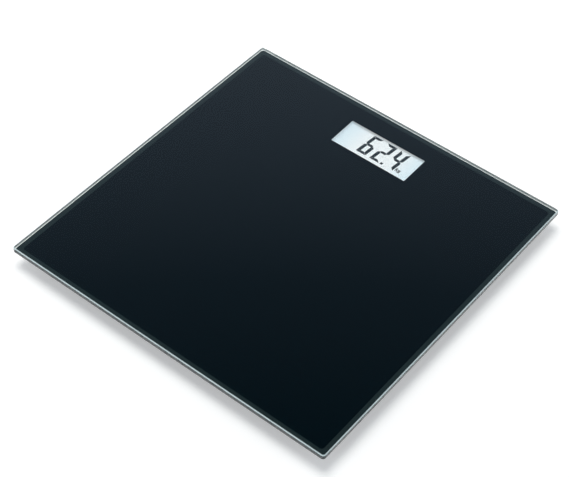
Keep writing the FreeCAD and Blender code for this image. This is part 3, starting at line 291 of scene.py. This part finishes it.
# --- Liquid crystal display ---------------------------------------------------------------------
# Two thin sheets of glass glued at their rims, with a polarizer on the front one. The digits are dark
# where the crystal between the sheets is switched; the film behind glows from a lamp at its edge.

reflector_low, reflector_high = (np.array(corner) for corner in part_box("lcd_reflector"))
rear_low, rear_high = (np.array(corner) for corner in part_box("lcd_rear_glass"))
front_low, front_high = (np.array(corner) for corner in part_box("lcd_front_glass"))
FILM_MIDDLE = (1.0, 0.98, 1.0)
FILM_ENDS = (0.84, 0.93, 1.0)
FILM_GLOW = 1.08
# How much the film's glow is dimmed at its rim: painted shade from the window's edge.
RIM_PAINTED_SHADE = 0.5


def clear_sheet(name, tint, shine, streak):
    """A see-through sheet: Transparent, with a mirror's share by Fresnel and faint streaks in it."""
    material, tree, shader = new_material(name)
    tree.nodes.remove(shader)
    clear = add(tree, "ShaderNodeBsdfTransparent", in_Color=(*tint, 1))
    mirror = add(tree, "ShaderNodeBsdfGlossy")
    haze = use(tree, fine_speckle, Scale=300)["Mask"]
    tree.links.new(maths(tree, "MULTIPLY_ADD", haze, streak, 0.05), mirror.inputs["Roughness"])
    edge = add(tree, "ShaderNodeFresnel", in_IOR=1.45)
    share = maths(tree, "MULTIPLY", edge.outputs[0], shine)
    both = blend_shaders(tree, share, clear.outputs[0], mirror.outputs[0])
    tree.links.new(both, tree.nodes["Material Output"].inputs["Surface"])
    return material


def glowing_film():
    """Pale film lit from behind: bluer towards its two ends, and dimmer in a soft rim, which is painted
    shade from the window's edge.
    """
    material, tree, shader = new_material("glowing_film")
    place = add(tree, "ShaderNodeTexCoord")
    centre = (window_low + window_high) / 2
    half = (window_high - window_low) / 2
    from_centre = add(tree, "ShaderNodeVectorMath", operation="SUBTRACT")
    from_centre.inputs[1].default_value = (*centre, 0)
    axes = add(tree, "ShaderNodeSeparateXYZ")
    tree.links.new(place.outputs["Object"], from_centre.inputs[0])
    tree.links.new(from_centre.outputs[0], axes.inputs[0])
    across = maths(tree, "DIVIDE", maths(tree, "ABSOLUTE", axes.outputs["X"]), float(half[0]))
    along = maths(tree, "DIVIDE", maths(tree, "ABSOLUTE", axes.outputs["Y"]), float(half[1]))
    ends = add(tree, "ShaderNodeMapRange", interpolation_type="SMOOTHSTEP", in_From_Min=0.35)
    tree.links.new(across, ends.inputs["Value"])
    # Painted shade: the glow fades in a soft rim round the window, for the shade cast by its edge.
    rim = add(tree, "ShaderNodeMapRange", interpolation_type="SMOOTHSTEP", in_From_Min=0.9)
    rim.inputs["From Max"].default_value = 1.15
    tree.links.new(maths(tree, "MAXIMUM", across, along), rim.inputs["Value"])
    bright = two_tone(tree, ends.outputs[0], FILM_MIDDLE, FILM_ENDS)
    tree.links.new(bright, shader.inputs["Emission Color"])
    shade_at_rim = maths(tree, "MULTIPLY_ADD", rim.outputs[0], -RIM_PAINTED_SHADE, 1.0)
    grain = use(tree, fine_speckle, Scale=900)["Mask"]
    glow = maths(tree, "MULTIPLY", shade_at_rim, maths(tree, "MULTIPLY_ADD", grain, 0.02, FILM_GLOW))
    tree.links.new(glow, shader.inputs["Emission Strength"])
    shader.inputs["Base Color"].default_value = (0.1, 0.1, 0.1, 1)
    tree.links.new(maths(tree, "MULTIPLY_ADD", grain, 0.15, 0.45), shader.inputs["Roughness"])
    return material


wear(clear_sheet("polarizer", (0.97, 0.98, 0.99), 0.15, 0.05), "lcd_front_polarizer")
wear(clear_sheet("thin_glass", (1.0, 1.0, 1.0), 0.02, 0.02), "lcd_front_glass", "lcd_rear_glass")
wear(clear_sheet("rim_glue", (0.8, 0.82, 0.78), 0.3, 0.3), "lcd_edge_seal")
wear(glowing_film(), "lcd_reflector")

# Digits, a point and the unit, all leaning the same way
DIGIT_HEIGHT = 23.1 * MM
DIGIT_WIDTH = 9.5 * MM
DIGIT_PITCH = 13.5 * MM
DIGITS_LEFT = -15.1 * MM
DIGITS_LOW = 104.5 * MM
UPRIGHT_BAR = 2.9 * MM
LEVEL_BAR = 2.5 * MM
BAR_GAP = 0.12 * MM
LEAN = math.tan(math.radians(5.5))
SWITCHED = {"6": "acdefg", "2": "abdeg", "4": "bcfg"}
POINT_PLACE = (9.9 * MM, 105.5 * MM)
POINT_HALF = 1.1 * MM
UNIT_PLACE = (22.8 * MM, 106.2 * MM)
UNIT_SIZE = 1.0 * MM
UNIT_STROKE = 0.7 * MM
CRYSTAL_ROOM = 0.01 * MM
CRYSTAL_DARK = (0.002, 0.0025, 0.0035)
CRYSTAL_LIGHT = (0.004, 0.005, 0.006)
UNIT_LINES = [
    [(0, 0), (0, 3)], [(0, 1), (1.3, 2.1)], [(0.5, 1.3), (1.4, 0)],
    [(2.3, 0.5), (2.3, 2)], [(2.3, 2), (3.7, 2)], [(2.3, 0.5), (3.7, 0.5)],
    [(3.7, 2), (3.7, -0.7)], [(2.4, -0.7), (3.7, -0.7)],
]


def bar_outlines(width, height, upright, level, gap):
    """The seven bars of a digit as outlines with mitred ends, in a box from (0, 0)."""
    middle = height / 2
    top = np.array([(gap, height), (width - gap, height),
                    (width - upright - gap, height - level), (upright + gap, height - level)])
    upper_left = np.array([(0, height - gap), (upright, height - level - gap),
                           (upright, middle + level / 2 + gap), (upright / 2, middle + gap),
                           (0, middle + level / 2 + gap)])
    centre = np.array([(upright / 2 + gap, middle), (upright + gap, middle + level / 2),
                       (width - upright - gap, middle + level / 2), (width - upright / 2 - gap, middle),
                       (width - upright - gap, middle - level / 2), (upright + gap, middle - level / 2)])

    def to_right(outline):
        return np.array([width, 0]) + outline * [-1, 1]

    def to_bottom(outline):
        return np.array([0, height]) + outline * [1, -1]

    return {
        "a": top, "f": upper_left, "g": centre, "d": to_bottom(top), "b": to_right(upper_left),
        "e": to_bottom(upper_left), "c": to_right(to_bottom(upper_left)),
    }


def stroke(start, end, width):
    """A straight stroke: its four corners, half a width off the line from start to end."""
    start, end = np.array(start), np.array(end)
    along = (end - start) / np.linalg.norm(end - start) * width / 2
    across = np.array([-along[1], along[0]])
    return np.array([start - along - across, end + along - across,
                     end + along + across, start - along + across])


def slabs(name, outlines, bottom, top):
    """Upright slabs: each outline's points at two heights, a wall on each side and two caps."""
    points, faces = [], []
    for outline in outlines:
        following = np.roll(outline, -1, axis=0)
        area = np.sum(outline[:, 0] * following[:, 1] - following[:, 0] * outline[:, 1])
        outline = outline if area > 0 else outline[::-1]
        count, first = len(outline), sum(len(block) for block in points)
        for height in (bottom, top):
            points.append(np.column_stack([outline, np.full(count, height)]))
        step = np.arange(count)
        follow = (step + 1) % count
        walls = np.column_stack([step, follow, follow + count, step + count]) + first
        faces += walls.tolist()
        faces.append((step[::-1] + first).tolist())
        faces.append((step + count + first).tolist())
    return mesh_of(name, np.concatenate(points), faces)


shown = []
bars = bar_outlines(DIGIT_WIDTH, DIGIT_HEIGHT, UPRIGHT_BAR, LEVEL_BAR, BAR_GAP)
for place, digit in enumerate("624"):
    corner = np.array([DIGITS_LEFT + place * DIGIT_PITCH, DIGITS_LOW])
    shown += [bars[bar] + corner for bar in SWITCHED[digit]]
square = np.array([(-1, -1), (1, -1), (1, 1), (-1, 1)]) * POINT_HALF
shown.append(square + POINT_PLACE)
for start, end in UNIT_LINES:
    line = stroke(np.array(start) * UNIT_SIZE, np.array(end) * UNIT_SIZE, UNIT_STROKE)
    shown.append(line + UNIT_PLACE)
leaning = [
    np.column_stack([outline[:, 0] + (outline[:, 1] - DIGITS_LOW) * LEAN, outline[:, 1]])
    for outline in shown
]
crystal_low, crystal_high = rear_high[2] + CRYSTAL_ROOM, front_low[2] - CRYSTAL_ROOM
digits = slabs("display_digits", leaning, crystal_low, crystal_high)
switched_crystal, tree, shader = new_material("switched_crystal")
specks = use(tree, fine_speckle, Scale=2500)["Mask"]
crystal_colour = two_tone(tree, specks, CRYSTAL_DARK, CRYSTAL_LIGHT)
tree.links.new(crystal_colour, shader.inputs["Base Color"])
tree.links.new(maths(tree, "MULTIPLY_ADD", specks, 0.1, 0.5), shader.inputs["Roughness"])
shader.inputs["Specular IOR Level"].default_value = 0
put_on(digits, switched_crystal, "platform")

# --- Display gasket, frame and connector strip --------------------------------------------------
# A die-cut ring of black foam keeps light and dust out between glass and display. A white moulded
# frame holds the display, and a strip of rubber striped with carbon joins its contacts to the board.


def make_pebbled_skin():
    """The spark-eroded skin of moulded plastic: rounded pebbles as relief, and a mask of them."""
    group, given, result = new_group(
        "pebbled_skin", {"Scale": "Float", "Depth": "Float"}, {"Mask": "Float", "Normal": "Vector"}
    )
    place = add(group, "ShaderNodeTexCoord")
    pebbles = add(group, "ShaderNodeTexVoronoi", feature="SMOOTH_F1")
    dents = add(group, "ShaderNodeTexNoise", in_Detail=3)
    relief = add(group, "ShaderNodeBump", in_Strength=0.6)
    for texture in (pebbles, dents):
        group.links.new(place.outputs["Object"], texture.inputs["Vector"])
        group.links.new(given.outputs["Scale"], texture.inputs["Scale"])
    height = maths(group, "MULTIPLY_ADD", dents.outputs["Fac"], 0.5, pebbles.outputs["Distance"])
    group.links.new(height, relief.inputs["Height"])
    group.links.new(given.outputs["Depth"], relief.inputs["Distance"])
    group.links.new(height, result.inputs["Mask"])
    group.links.new(relief.outputs[0], result.inputs["Normal"])
    return group


def make_fine_stripes():
    """Straight stripes across X, half dark and half light, with softened sides."""
    group, given, result = new_group("fine_stripes", {"Pitch": "Float"}, {"Mask": "Float"})
    place = add(group, "ShaderNodeTexCoord")
    axes = add(group, "ShaderNodeSeparateXYZ")
    group.links.new(place.outputs["Object"], axes.inputs[0])
    turns = maths(group, "DIVIDE", axes.outputs["X"], given.outputs["Pitch"])
    swing = maths(group, "SINE", maths(group, "MULTIPLY", turns, 2 * math.pi))
    soft = add(group, "ShaderNodeMapRange", interpolation_type="SMOOTHSTEP", in_From_Min=-0.4)
    soft.inputs["From Max"].default_value = 0.4
    group.links.new(swing, soft.inputs["Value"])
    group.links.new(soft.outputs[0], result.inputs["Mask"])
    return group


pebbled_skin = make_pebbled_skin()
fine_stripes = make_fine_stripes()


def finish(name, pattern, dark, light, smooth, rough, metal=0.0):
    """A finish whose colour and roughness both follow one pattern. The pattern is a node group and
    its inputs; where the group gives a normal, the relief is used too."""
    material, tree, shader = new_material(name)
    group, inputs = pattern
    made = use(tree, group, **inputs)
    tree.links.new(two_tone(tree, made["Mask"], dark, light), shader.inputs["Base Color"])
    spread = maths(tree, "MULTIPLY_ADD", made["Mask"], rough - smooth, smooth)
    tree.links.new(spread, shader.inputs["Roughness"])
    if "Normal" in made:
        tree.links.new(made["Normal"], shader.inputs["Normal"])
    shader.inputs["Metallic"].default_value = metal
    return material


FOAM_CELLS = (pebbled_skin, {"Scale": 2200, "Depth": 0.12 * MM})
SATIN_SKIN = (pebbled_skin, {"Scale": 1600, "Depth": 0.01 * MM})
black_foam = finish(
    "black_foam", FOAM_CELLS, (0.008, 0.008, 0.009), (0.032, 0.032, 0.033), 0.85, 0.97
)
wear(black_foam, "window_gasket")
wear(finish("white_moulding", SATIN_SKIN, (0.74, 0.74, 0.72), (0.82, 0.82, 0.80), 0.4, 0.55), "lcd_frame")
ZEBRA = (fine_stripes, {"Pitch": 0.36 * MM})
zebra_rubber = finish("zebra_rubber", ZEBRA, (0.015, 0.015, 0.016), (0.5, 0.48, 0.45), 0.45, 0.7)
wear(zebra_rubber, "lcd_connector_strip")

# --- Circuit board ------------------------------------------------------------------------------
# Fibreglass board with copper tracks under green lacquer, held by four zinc-plated screws. On it are
# the bare chip under a blob of black resin, small ceramic parts, soldered leads and a push switch.


def green_lacquer():
    """Green lacquer: paler and raised where tracks run under it, on a staggered grid of lines."""
    material, tree, shader = new_material("green_lacquer")
    place = add(tree, "ShaderNodeTexCoord")
    tracks = add(tree, "ShaderNodeTexBrick", in_Scale=1.0, in_Mortar_Smooth=0.2, in_Bias=0.0)
    tracks.inputs["Mortar Size"].default_value = 0.16 * MM
    tracks.inputs["Brick Width"].default_value = 4.2 * MM
    tracks.inputs["Row Height"].default_value = 1.3 * MM
    tree.links.new(place.outputs["Object"], tracks.inputs["Vector"])
    weave = use(tree, fine_speckle, Scale=1500)["Mask"]
    shade = two_tone(tree, weave, (0.008, 0.11, 0.035), (0.012, 0.15, 0.05))
    lit = add(tree, "ShaderNodeMix", data_type="RGBA")
    colours = [socket for socket in lit.inputs if socket.type == "RGBA"]
    tree.links.new(tracks.outputs["Fac"], lit.inputs[0])
    tree.links.new(shade, colours[0])
    colours[1].default_value = (0.05, 0.34, 0.10, 1)
    tree.links.new(next(s for s in lit.outputs if s.type == "RGBA"), shader.inputs["Base Color"])
    relief = add(tree, "ShaderNodeBump", in_Strength=0.5, in_Distance=0.05 * MM)
    tree.links.new(tracks.outputs["Fac"], relief.inputs["Height"])
    tree.links.new(relief.outputs[0], shader.inputs["Normal"])
    tree.links.new(maths(tree, "MULTIPLY_ADD", weave, 0.12, 0.28), shader.inputs["Roughness"])
    return material


def make_rolled_lines():
    """The long fine lines that rolling leaves in sheet metal: noise drawn out along X."""
    group, given, result = new_group(
        "rolled_lines", {"Scale": "Float", "Depth": "Float"}, {"Mask": "Float", "Normal": "Vector"}
    )
    place = add(group, "ShaderNodeTexCoord")
    drawn = add(group, "ShaderNodeVectorMath", operation="MULTIPLY")
    drawn.inputs[1].default_value = (0.04, 1, 1)
    noise = add(group, "ShaderNodeTexNoise", in_Detail=5)
    spread = add(group, "ShaderNodeMapRange", in_From_Min=0.3, in_From_Max=0.7)
    relief = add(group, "ShaderNodeBump", in_Strength=0.4)
    group.links.new(place.outputs["Object"], drawn.inputs[0])
    group.links.new(drawn.outputs[0], noise.inputs["Vector"])
    group.links.new(given.outputs["Scale"], noise.inputs["Scale"])
    group.links.new(noise.outputs["Fac"], spread.inputs["Value"])
    group.links.new(noise.outputs["Fac"], relief.inputs["Height"])
    group.links.new(given.outputs["Depth"], relief.inputs["Distance"])
    group.links.new(spread.outputs[0], result.inputs["Mask"])
    group.links.new(relief.outputs[0], result.inputs["Normal"])
    return group


rolled_lines = make_rolled_lines()
wear(green_lacquer(), "main_board")
PLATED = (rolled_lines, {"Scale": 2400, "Depth": 0.01 * MM})
wear(finish("zinc_plate", PLATED, (0.52, 0.55, 0.60), (0.66, 0.67, 0.68), 0.22, 0.42, 1), "board_screws")
LUMPS = (pebbled_skin, {"Scale": 450, "Depth": 0.05 * MM})
blob_resin = finish("blob_resin", LUMPS, (0.006, 0.006, 0.007), (0.012, 0.012, 0.013), 0.12, 0.28)
wear(blob_resin, "controller_blob")
GRAINS = (fine_speckle, {"Scale": 1800})
wear(finish("chip_ceramic", GRAINS, (0.26, 0.19, 0.12), (0.42, 0.33, 0.23), 0.35, 0.55), "board_components")
wear(finish("solder", LUMPS, (0.58, 0.58, 0.60), (0.76, 0.76, 0.77), 0.18, 0.36, 1), "solder_joints")
switch_body = finish(
    "switch_body", SATIN_SKIN, (0.022, 0.022, 0.023), (0.045, 0.045, 0.046), 0.35, 0.5
)
wear(switch_body, "unit_switch")
plunger_nylon = finish(
    "plunger_nylon", SATIN_SKIN, (0.55, 0.53, 0.48), (0.68, 0.66, 0.60), 0.4, 0.55
)
wear(plunger_nylon, "switch_plunger")

# --- Electronics housing ------------------------------------------------------------------------
# A shallow tray moulded in black ABS with a coarse skin, taped to the glass with a strip of white
# closed-cell foam tape round its rim.

BLACK_SKIN = (pebbled_skin, {"Scale": 1300, "Depth": 0.03 * MM})
black_moulding = finish(
    "black_moulding", BLACK_SKIN, (0.014, 0.015, 0.017), (0.030, 0.031, 0.034), 0.46, 0.66
)
wear(black_moulding, "electronics_housing")
TAPE_CELLS = (pebbled_skin, {"Scale": 1700, "Depth": 0.06 * MM})
foam_tape = finish("foam_tape", TAPE_CELLS, (0.66, 0.66, 0.64), (0.82, 0.82, 0.80), 0.8, 0.95)
wear(foam_tape, "housing_tape")

# --- Coin cell and its cover --------------------------------------------------------------------
# A 3 V coin cell between two nickel-plated springs. The cover turns an eighth of a turn in its lugs
# and squeezes a soft ring, which keeps bathroom damp out.

cover_low, cover_high = (np.array(corner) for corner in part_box("battery_cover"))
cell_centre = (cover_low + cover_high) / 2


def make_round_lines():
    """Rings round an axis along Z, as a lathe leaves them: mask and relief of sin(radius / pitch)."""
    group, given, result = new_group(
        "round_lines",
        {"From Axis": "Vector", "Pitch": "Float", "Depth": "Float"},
        {"Mask": "Float", "Normal": "Vector"},
    )
    flat = add(group, "ShaderNodeVectorMath", operation="MULTIPLY")
    flat.inputs[1].default_value = (1, 1, 0)
    reach = add(group, "ShaderNodeVectorMath", operation="LENGTH")
    relief = add(group, "ShaderNodeBump", in_Strength=0.7)
    group.links.new(given.outputs["From Axis"], flat.inputs[0])
    group.links.new(flat.outputs[0], reach.inputs[0])
    turns = maths(group, "DIVIDE", reach.outputs["Value"], given.outputs["Pitch"])
    swing = maths(group, "SINE", maths(group, "MULTIPLY", turns, 2 * math.pi))
    mask = maths(group, "MULTIPLY_ADD", swing, 0.5, 0.5)
    group.links.new(mask, relief.inputs["Height"])
    group.links.new(given.outputs["Depth"], relief.inputs["Distance"])
    group.links.new(mask, result.inputs["Mask"])
    group.links.new(relief.outputs[0], result.inputs["Normal"])
    return group


round_lines = make_round_lines()


def ringed(name, centre, mirrored, pitch, depth, dark, light, smooth, rough, metal=0.0):
    """A finish of rings round an axis. Mirrored rings have one axis in each quarter of the plan."""
    material, tree, shader = new_material(name)
    place = add(tree, "ShaderNodeTexCoord")
    where = place.outputs["Object"]
    if mirrored:
        fold = add(tree, "ShaderNodeVectorMath", operation="ABSOLUTE")
        tree.links.new(where, fold.inputs[0])
        where = fold.outputs[0]
    offset = add(tree, "ShaderNodeVectorMath", operation="SUBTRACT")
    offset.inputs[1].default_value = tuple(map(float, centre))
    tree.links.new(where, offset.inputs[0])
    rings = use(tree, round_lines, **{"From Axis": offset.outputs[0], "Pitch": pitch, "Depth": depth})
    specks = use(tree, fine_speckle, Scale=900)["Mask"]
    mask = maths(tree, "MULTIPLY", maths(tree, "ADD", rings["Mask"], specks), 0.5)
    tree.links.new(two_tone(tree, mask, dark, light), shader.inputs["Base Color"])
    tree.links.new(maths(tree, "MULTIPLY_ADD", mask, rough - smooth, smooth), shader.inputs["Roughness"])
    tree.links.new(rings["Normal"], shader.inputs["Normal"])
    shader.inputs["Metallic"].default_value = metal
    return material


spun_steel = ringed(
    "spun_steel", cell_centre, False, 0.25 * MM, 0.004 * MM,
    (0.60, 0.60, 0.58), (0.72, 0.72, 0.70), 0.2, 0.36, 1,
)
wear(spun_steel, "coin_cell")
NICKEL = (rolled_lines, {"Scale": 1800, "Depth": 0.008 * MM})
nickel_sheet = finish("nickel_plate", NICKEL, (0.55, 0.53, 0.49), (0.68, 0.66, 0.61), 0.2, 0.38, 1)
wear(nickel_sheet, "battery_positive_contact", "battery_negative_contact")
wear(black_moulding, "battery_cover")
SOFT_SKIN = (fine_speckle, {"Scale": 1400})
wear(finish("silicone_ring", SOFT_SKIN, (0.09, 0.09, 0.10), (0.14, 0.14, 0.15), 0.4, 0.55), "battery_seal")

# --- Unit button --------------------------------------------------------------------------------
# A small grey key that changes kilograms to pounds or stones. It is moulded in ABS, slides in a hole
# in the housing's floor and pushes the plunger of the switch on the board.

GREY_SKIN = (pebbled_skin, {"Scale": 1500, "Depth": 0.025 * MM})
grey_moulding = finish("grey_moulding", GREY_SKIN, (0.12, 0.125, 0.13), (0.17, 0.175, 0.18), 0.46, 0.62)
wear(grey_moulding, "unit_button")

# --- Feet and load cells ------------------------------------------------------------------------
# Under each corner a stamped steel load cell sits in a black holder taped to the glass. The weight
# reaches its tongue through a round grey cap with a ribbed rubber pad, clipped on by a nickel spring.

pad_low, pad_high = (np.array(corner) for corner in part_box("foot_pad_rear_right"))
pad_centre = (pad_low + pad_high) / 2
STAMPED = (rolled_lines, {"Scale": 1500, "Depth": 0.015 * MM})
stamped_steel = finish("stamped_steel", STAMPED, (0.48, 0.49, 0.50), (0.64, 0.65, 0.66), 0.26, 0.46, 1)
ribbed_rubber = ringed(
    "ribbed_rubber", pad_centre, True, 1.6 * MM, 0.35 * MM,
    (0.055, 0.055, 0.058), (0.10, 0.10, 0.104), 0.65, 0.85,
)
for corner in ("front_left", "front_right", "rear_left", "rear_right"):
    wear(black_moulding, "foot_holder_" + corner)
    wear(stamped_steel, "load_cell_" + corner)
    wear(grey_moulding, "foot_cap_" + corner)
    wear(ribbed_rubber, "foot_pad_" + corner)
    wear(nickel_sheet, "foot_clip_" + corner)
wear(foam_tape, "foot_tapes")
GRID = (fine_stripes, {"Pitch": 0.3 * MM})
wear(finish("gauge_film", GRID, (0.50, 0.31, 0.08), (0.66, 0.52, 0.34), 0.25, 0.4), "strain_gauges")
wear(finish("sealant", LUMPS, (0.74, 0.74, 0.72), (0.85, 0.85, 0.83), 0.3, 0.5), "gauge_sealant")

# --- Wiring -------------------------------------------------------------------------------------
# Three thin leads run from each load cell to the board, red, white and black. Between the foot and
# the housing a moulded channel taped to the glass covers them.


def lead_insulation():
    """Smooth PVC in one of three colours, a lead each."""
    material, tree, shader = new_material("lead_insulation")
    island = add(tree, "ShaderNodeNewGeometry")
    colours = add(tree, "ShaderNodeValToRGB")
    colours.color_ramp.interpolation = "CONSTANT"
    colours.color_ramp.elements.new(0.66)
    stops = ((0.0, (0.42, 0.02, 0.015)), (0.33, (0.70, 0.69, 0.66)), (0.66, (0.02, 0.02, 0.022)))
    for element, (place, colour) in zip(colours.color_ramp.elements, stops):
        element.position = place
        element.color = (*colour, 1)
    tree.links.new(island.outputs["Random Per Island"], colours.inputs[0])
    tree.links.new(colours.outputs[0], shader.inputs["Base Color"])
    specks = use(tree, fine_speckle, Scale=1600)["Mask"]
    tree.links.new(maths(tree, "MULTIPLY_ADD", specks, 0.12, 0.32), shader.inputs["Roughness"])
    return material


insulation = lead_insulation()
for corner in ("front_left", "front_right", "rear_left", "rear_right"):
    wear(insulation, "sensor_leads_" + corner)
    wear(black_moulding, "wire_cover_" + corner)

# --- Floor, room and lamp -----------------------------------------------------------------------
# A pale sheet under the scale, one broad lamp overhead, and a room that is bright low down and dark
# above, which the polished glass mirrors.

FLOOR_HALF = 4.0
FLOOR_GLOW = 0.33
FAR_GLOW = 0.75
NEAR_REACH, FAR_REACH = 0.45, 1.6
LAMP_PLACE = (-0.42, 0.24, 1.5)
LAMP_SIZE = 1.0
LAMP_POWER = 20
LAMP_COLOUR = (1.0, 0.985, 0.96)


def pale_floor():
    """White paper that glows a little where the camera, glass or a mirror sees it, and more away
    from the scale. It is clear from below."""
    material, tree, shader = new_material("pale_floor")
    shader.inputs["Base Color"].default_value = (0.74, 0.74, 0.74, 1)
    shader.inputs["Specular IOR Level"].default_value = 0.1
    fibres = use(tree, fine_speckle, Scale=700)["Mask"]
    tree.links.new(maths(tree, "MULTIPLY_ADD", fibres, 0.05, 0.88), shader.inputs["Roughness"])
    path = add(tree, "ShaderNodeLightPath")
    seen = maths(tree, "MAXIMUM", path.outputs["Is Camera Ray"], path.outputs["Is Transmission Ray"])
    seen = maths(tree, "MAXIMUM", seen, path.outputs["Is Glossy Ray"])
    glow = add(tree, "ShaderNodeEmission", in_Color=(1, 1, 1, 1))
    place = add(tree, "ShaderNodeTexCoord")
    reach = add(tree, "ShaderNodeVectorMath", operation="LENGTH")
    tree.links.new(place.outputs["Object"], reach.inputs[0])
    lift = add(tree, "ShaderNodeMapRange", interpolation_type="SMOOTHSTEP")
    limits = {"From Min": NEAR_REACH, "From Max": FAR_REACH, "To Min": FLOOR_GLOW, "To Max": FAR_GLOW}
    for name, limit in limits.items():
        lift.inputs[name].default_value = limit
    tree.links.new(reach.outputs["Value"], lift.inputs["Value"])
    tree.links.new(maths(tree, "MULTIPLY", seen, lift.outputs[0]), glow.inputs["Strength"])
    both = add(tree, "ShaderNodeAddShader")
    tree.links.new(shader.outputs[0], both.inputs[0])
    tree.links.new(glow.outputs[0], both.inputs[1])
    clear = add(tree, "ShaderNodeBsdfTransparent")
    side = add(tree, "ShaderNodeNewGeometry")
    mixed = blend_shaders(tree, side.outputs["Backfacing"], both.outputs[0], clear.outputs[0])
    tree.links.new(mixed, tree.nodes["Material Output"].inputs["Surface"])
    return material


def room():
    """White to the camera. To mirrors and surfaces, bright walls that darken with height."""
    world = bpy.data.worlds.new("room")
    bpy.context.scene.world = world
    world.use_nodes = True
    tree = world.node_tree
    tree.nodes.clear()
    place = add(tree, "ShaderNodeTexCoord")
    axes = add(tree, "ShaderNodeSeparateXYZ")
    ramp = add(tree, "ShaderNodeValToRGB")
    stops = [
        (0.50, (1.0, 1.0, 1.0)),
        (0.60, (0.56, 0.67, 0.80)),
        (0.69, (0.31, 0.39, 0.50)),
        (0.76, (0.10, 0.135, 0.18)),
        (0.84, (0.006, 0.012, 0.018)),
    ]
    for extra in range(len(stops) - 2):
        ramp.color_ramp.elements.new(0.1 * (extra + 1))
    for element, (position, colour) in zip(ramp.color_ramp.elements, stops):
        element.position = position
        element.color = (*colour, 1)
    path = add(tree, "ShaderNodeLightPath")
    walls = add(tree, "ShaderNodeBackground", in_Strength=1)
    white = add(tree, "ShaderNodeBackground", in_Color=(1, 1, 1, 1), in_Strength=1)
    output = add(tree, "ShaderNodeOutputWorld")
    tree.links.new(place.outputs["Generated"], axes.inputs[0])
    tree.links.new(axes.outputs["Z"], ramp.inputs[0])
    tree.links.new(ramp.outputs[0], walls.inputs["Color"])
    seen = path.outputs["Is Camera Ray"]
    tree.links.new(blend_shaders(tree, seen, walls.outputs[0], white.outputs[0]), output.inputs[0])


floor_points = np.array([[-1, -1, 0], [1, -1, 0], [1, 1, 0], [-1, 1, 0]]) * FLOOR_HALF
floor = mesh_of("floor", floor_points, [[0, 1, 2, 3]])
floor.data.materials.append(pale_floor())
room()
lamp = bpy.data.objects.new("top_lamp", bpy.data.lights.new("top_lamp", "AREA"))
lamp.data.size = LAMP_SIZE
lamp.data.energy = LAMP_POWER
lamp.data.color = LAMP_COLOUR
lamp.visible_glossy = False
lamp.visible_transmission = False
aim = -mathutils.Vector(LAMP_PLACE)
turned = aim.to_track_quat("-Z", "Y").to_matrix().to_4x4()
lamp.matrix_world = mathutils.Matrix.Translation(LAMP_PLACE) @ turned
bpy.context.scene.collection.objects.link(lamp)

# --- Camera -------------------------------------------------------------------------------------
# It stands above the front right corner, with a long lens aimed at the middle of the glass, and is
# rolled slightly.

AZIMUTH = math.radians(37.683)
ELEVATION = math.radians(47.967)
ROLL = math.radians(1.538)
DISTANCE = 1.2371
SHIFT = (0.004066, 0.007898)
LENS = 101.68
look_at = np.array([0, 0, glass_high[2]])
level_reach = math.cos(ELEVATION)
back = np.array(
    [math.sin(AZIMUTH) * level_reach, -math.cos(AZIMUTH) * level_reach, math.sin(ELEVATION)]
)
level = np.array([math.cos(AZIMUTH), math.sin(AZIMUTH), 0])
upward = np.cross(back, level)
right = math.cos(ROLL) * level + math.sin(ROLL) * upward
up = math.cos(ROLL) * upward - math.sin(ROLL) * level
camera = bpy.data.objects.new("camera", bpy.data.cameras.new("camera"))
camera.data.lens = LENS
camera.data.clip_start = 0.01
eye = look_at + DISTANCE * back - SHIFT[0] * right - SHIFT[1] * up
pose = np.eye(4)
pose[:3, 0], pose[:3, 1], pose[:3, 2], pose[:3, 3] = right, up, back, eye
camera.matrix_world = mathutils.Matrix(pose.tolist())
bpy.context.scene.collection.objects.link(camera)
bpy.context.scene.camera = camera
bpy.context.scene.view_settings.view_transform = "Standard"
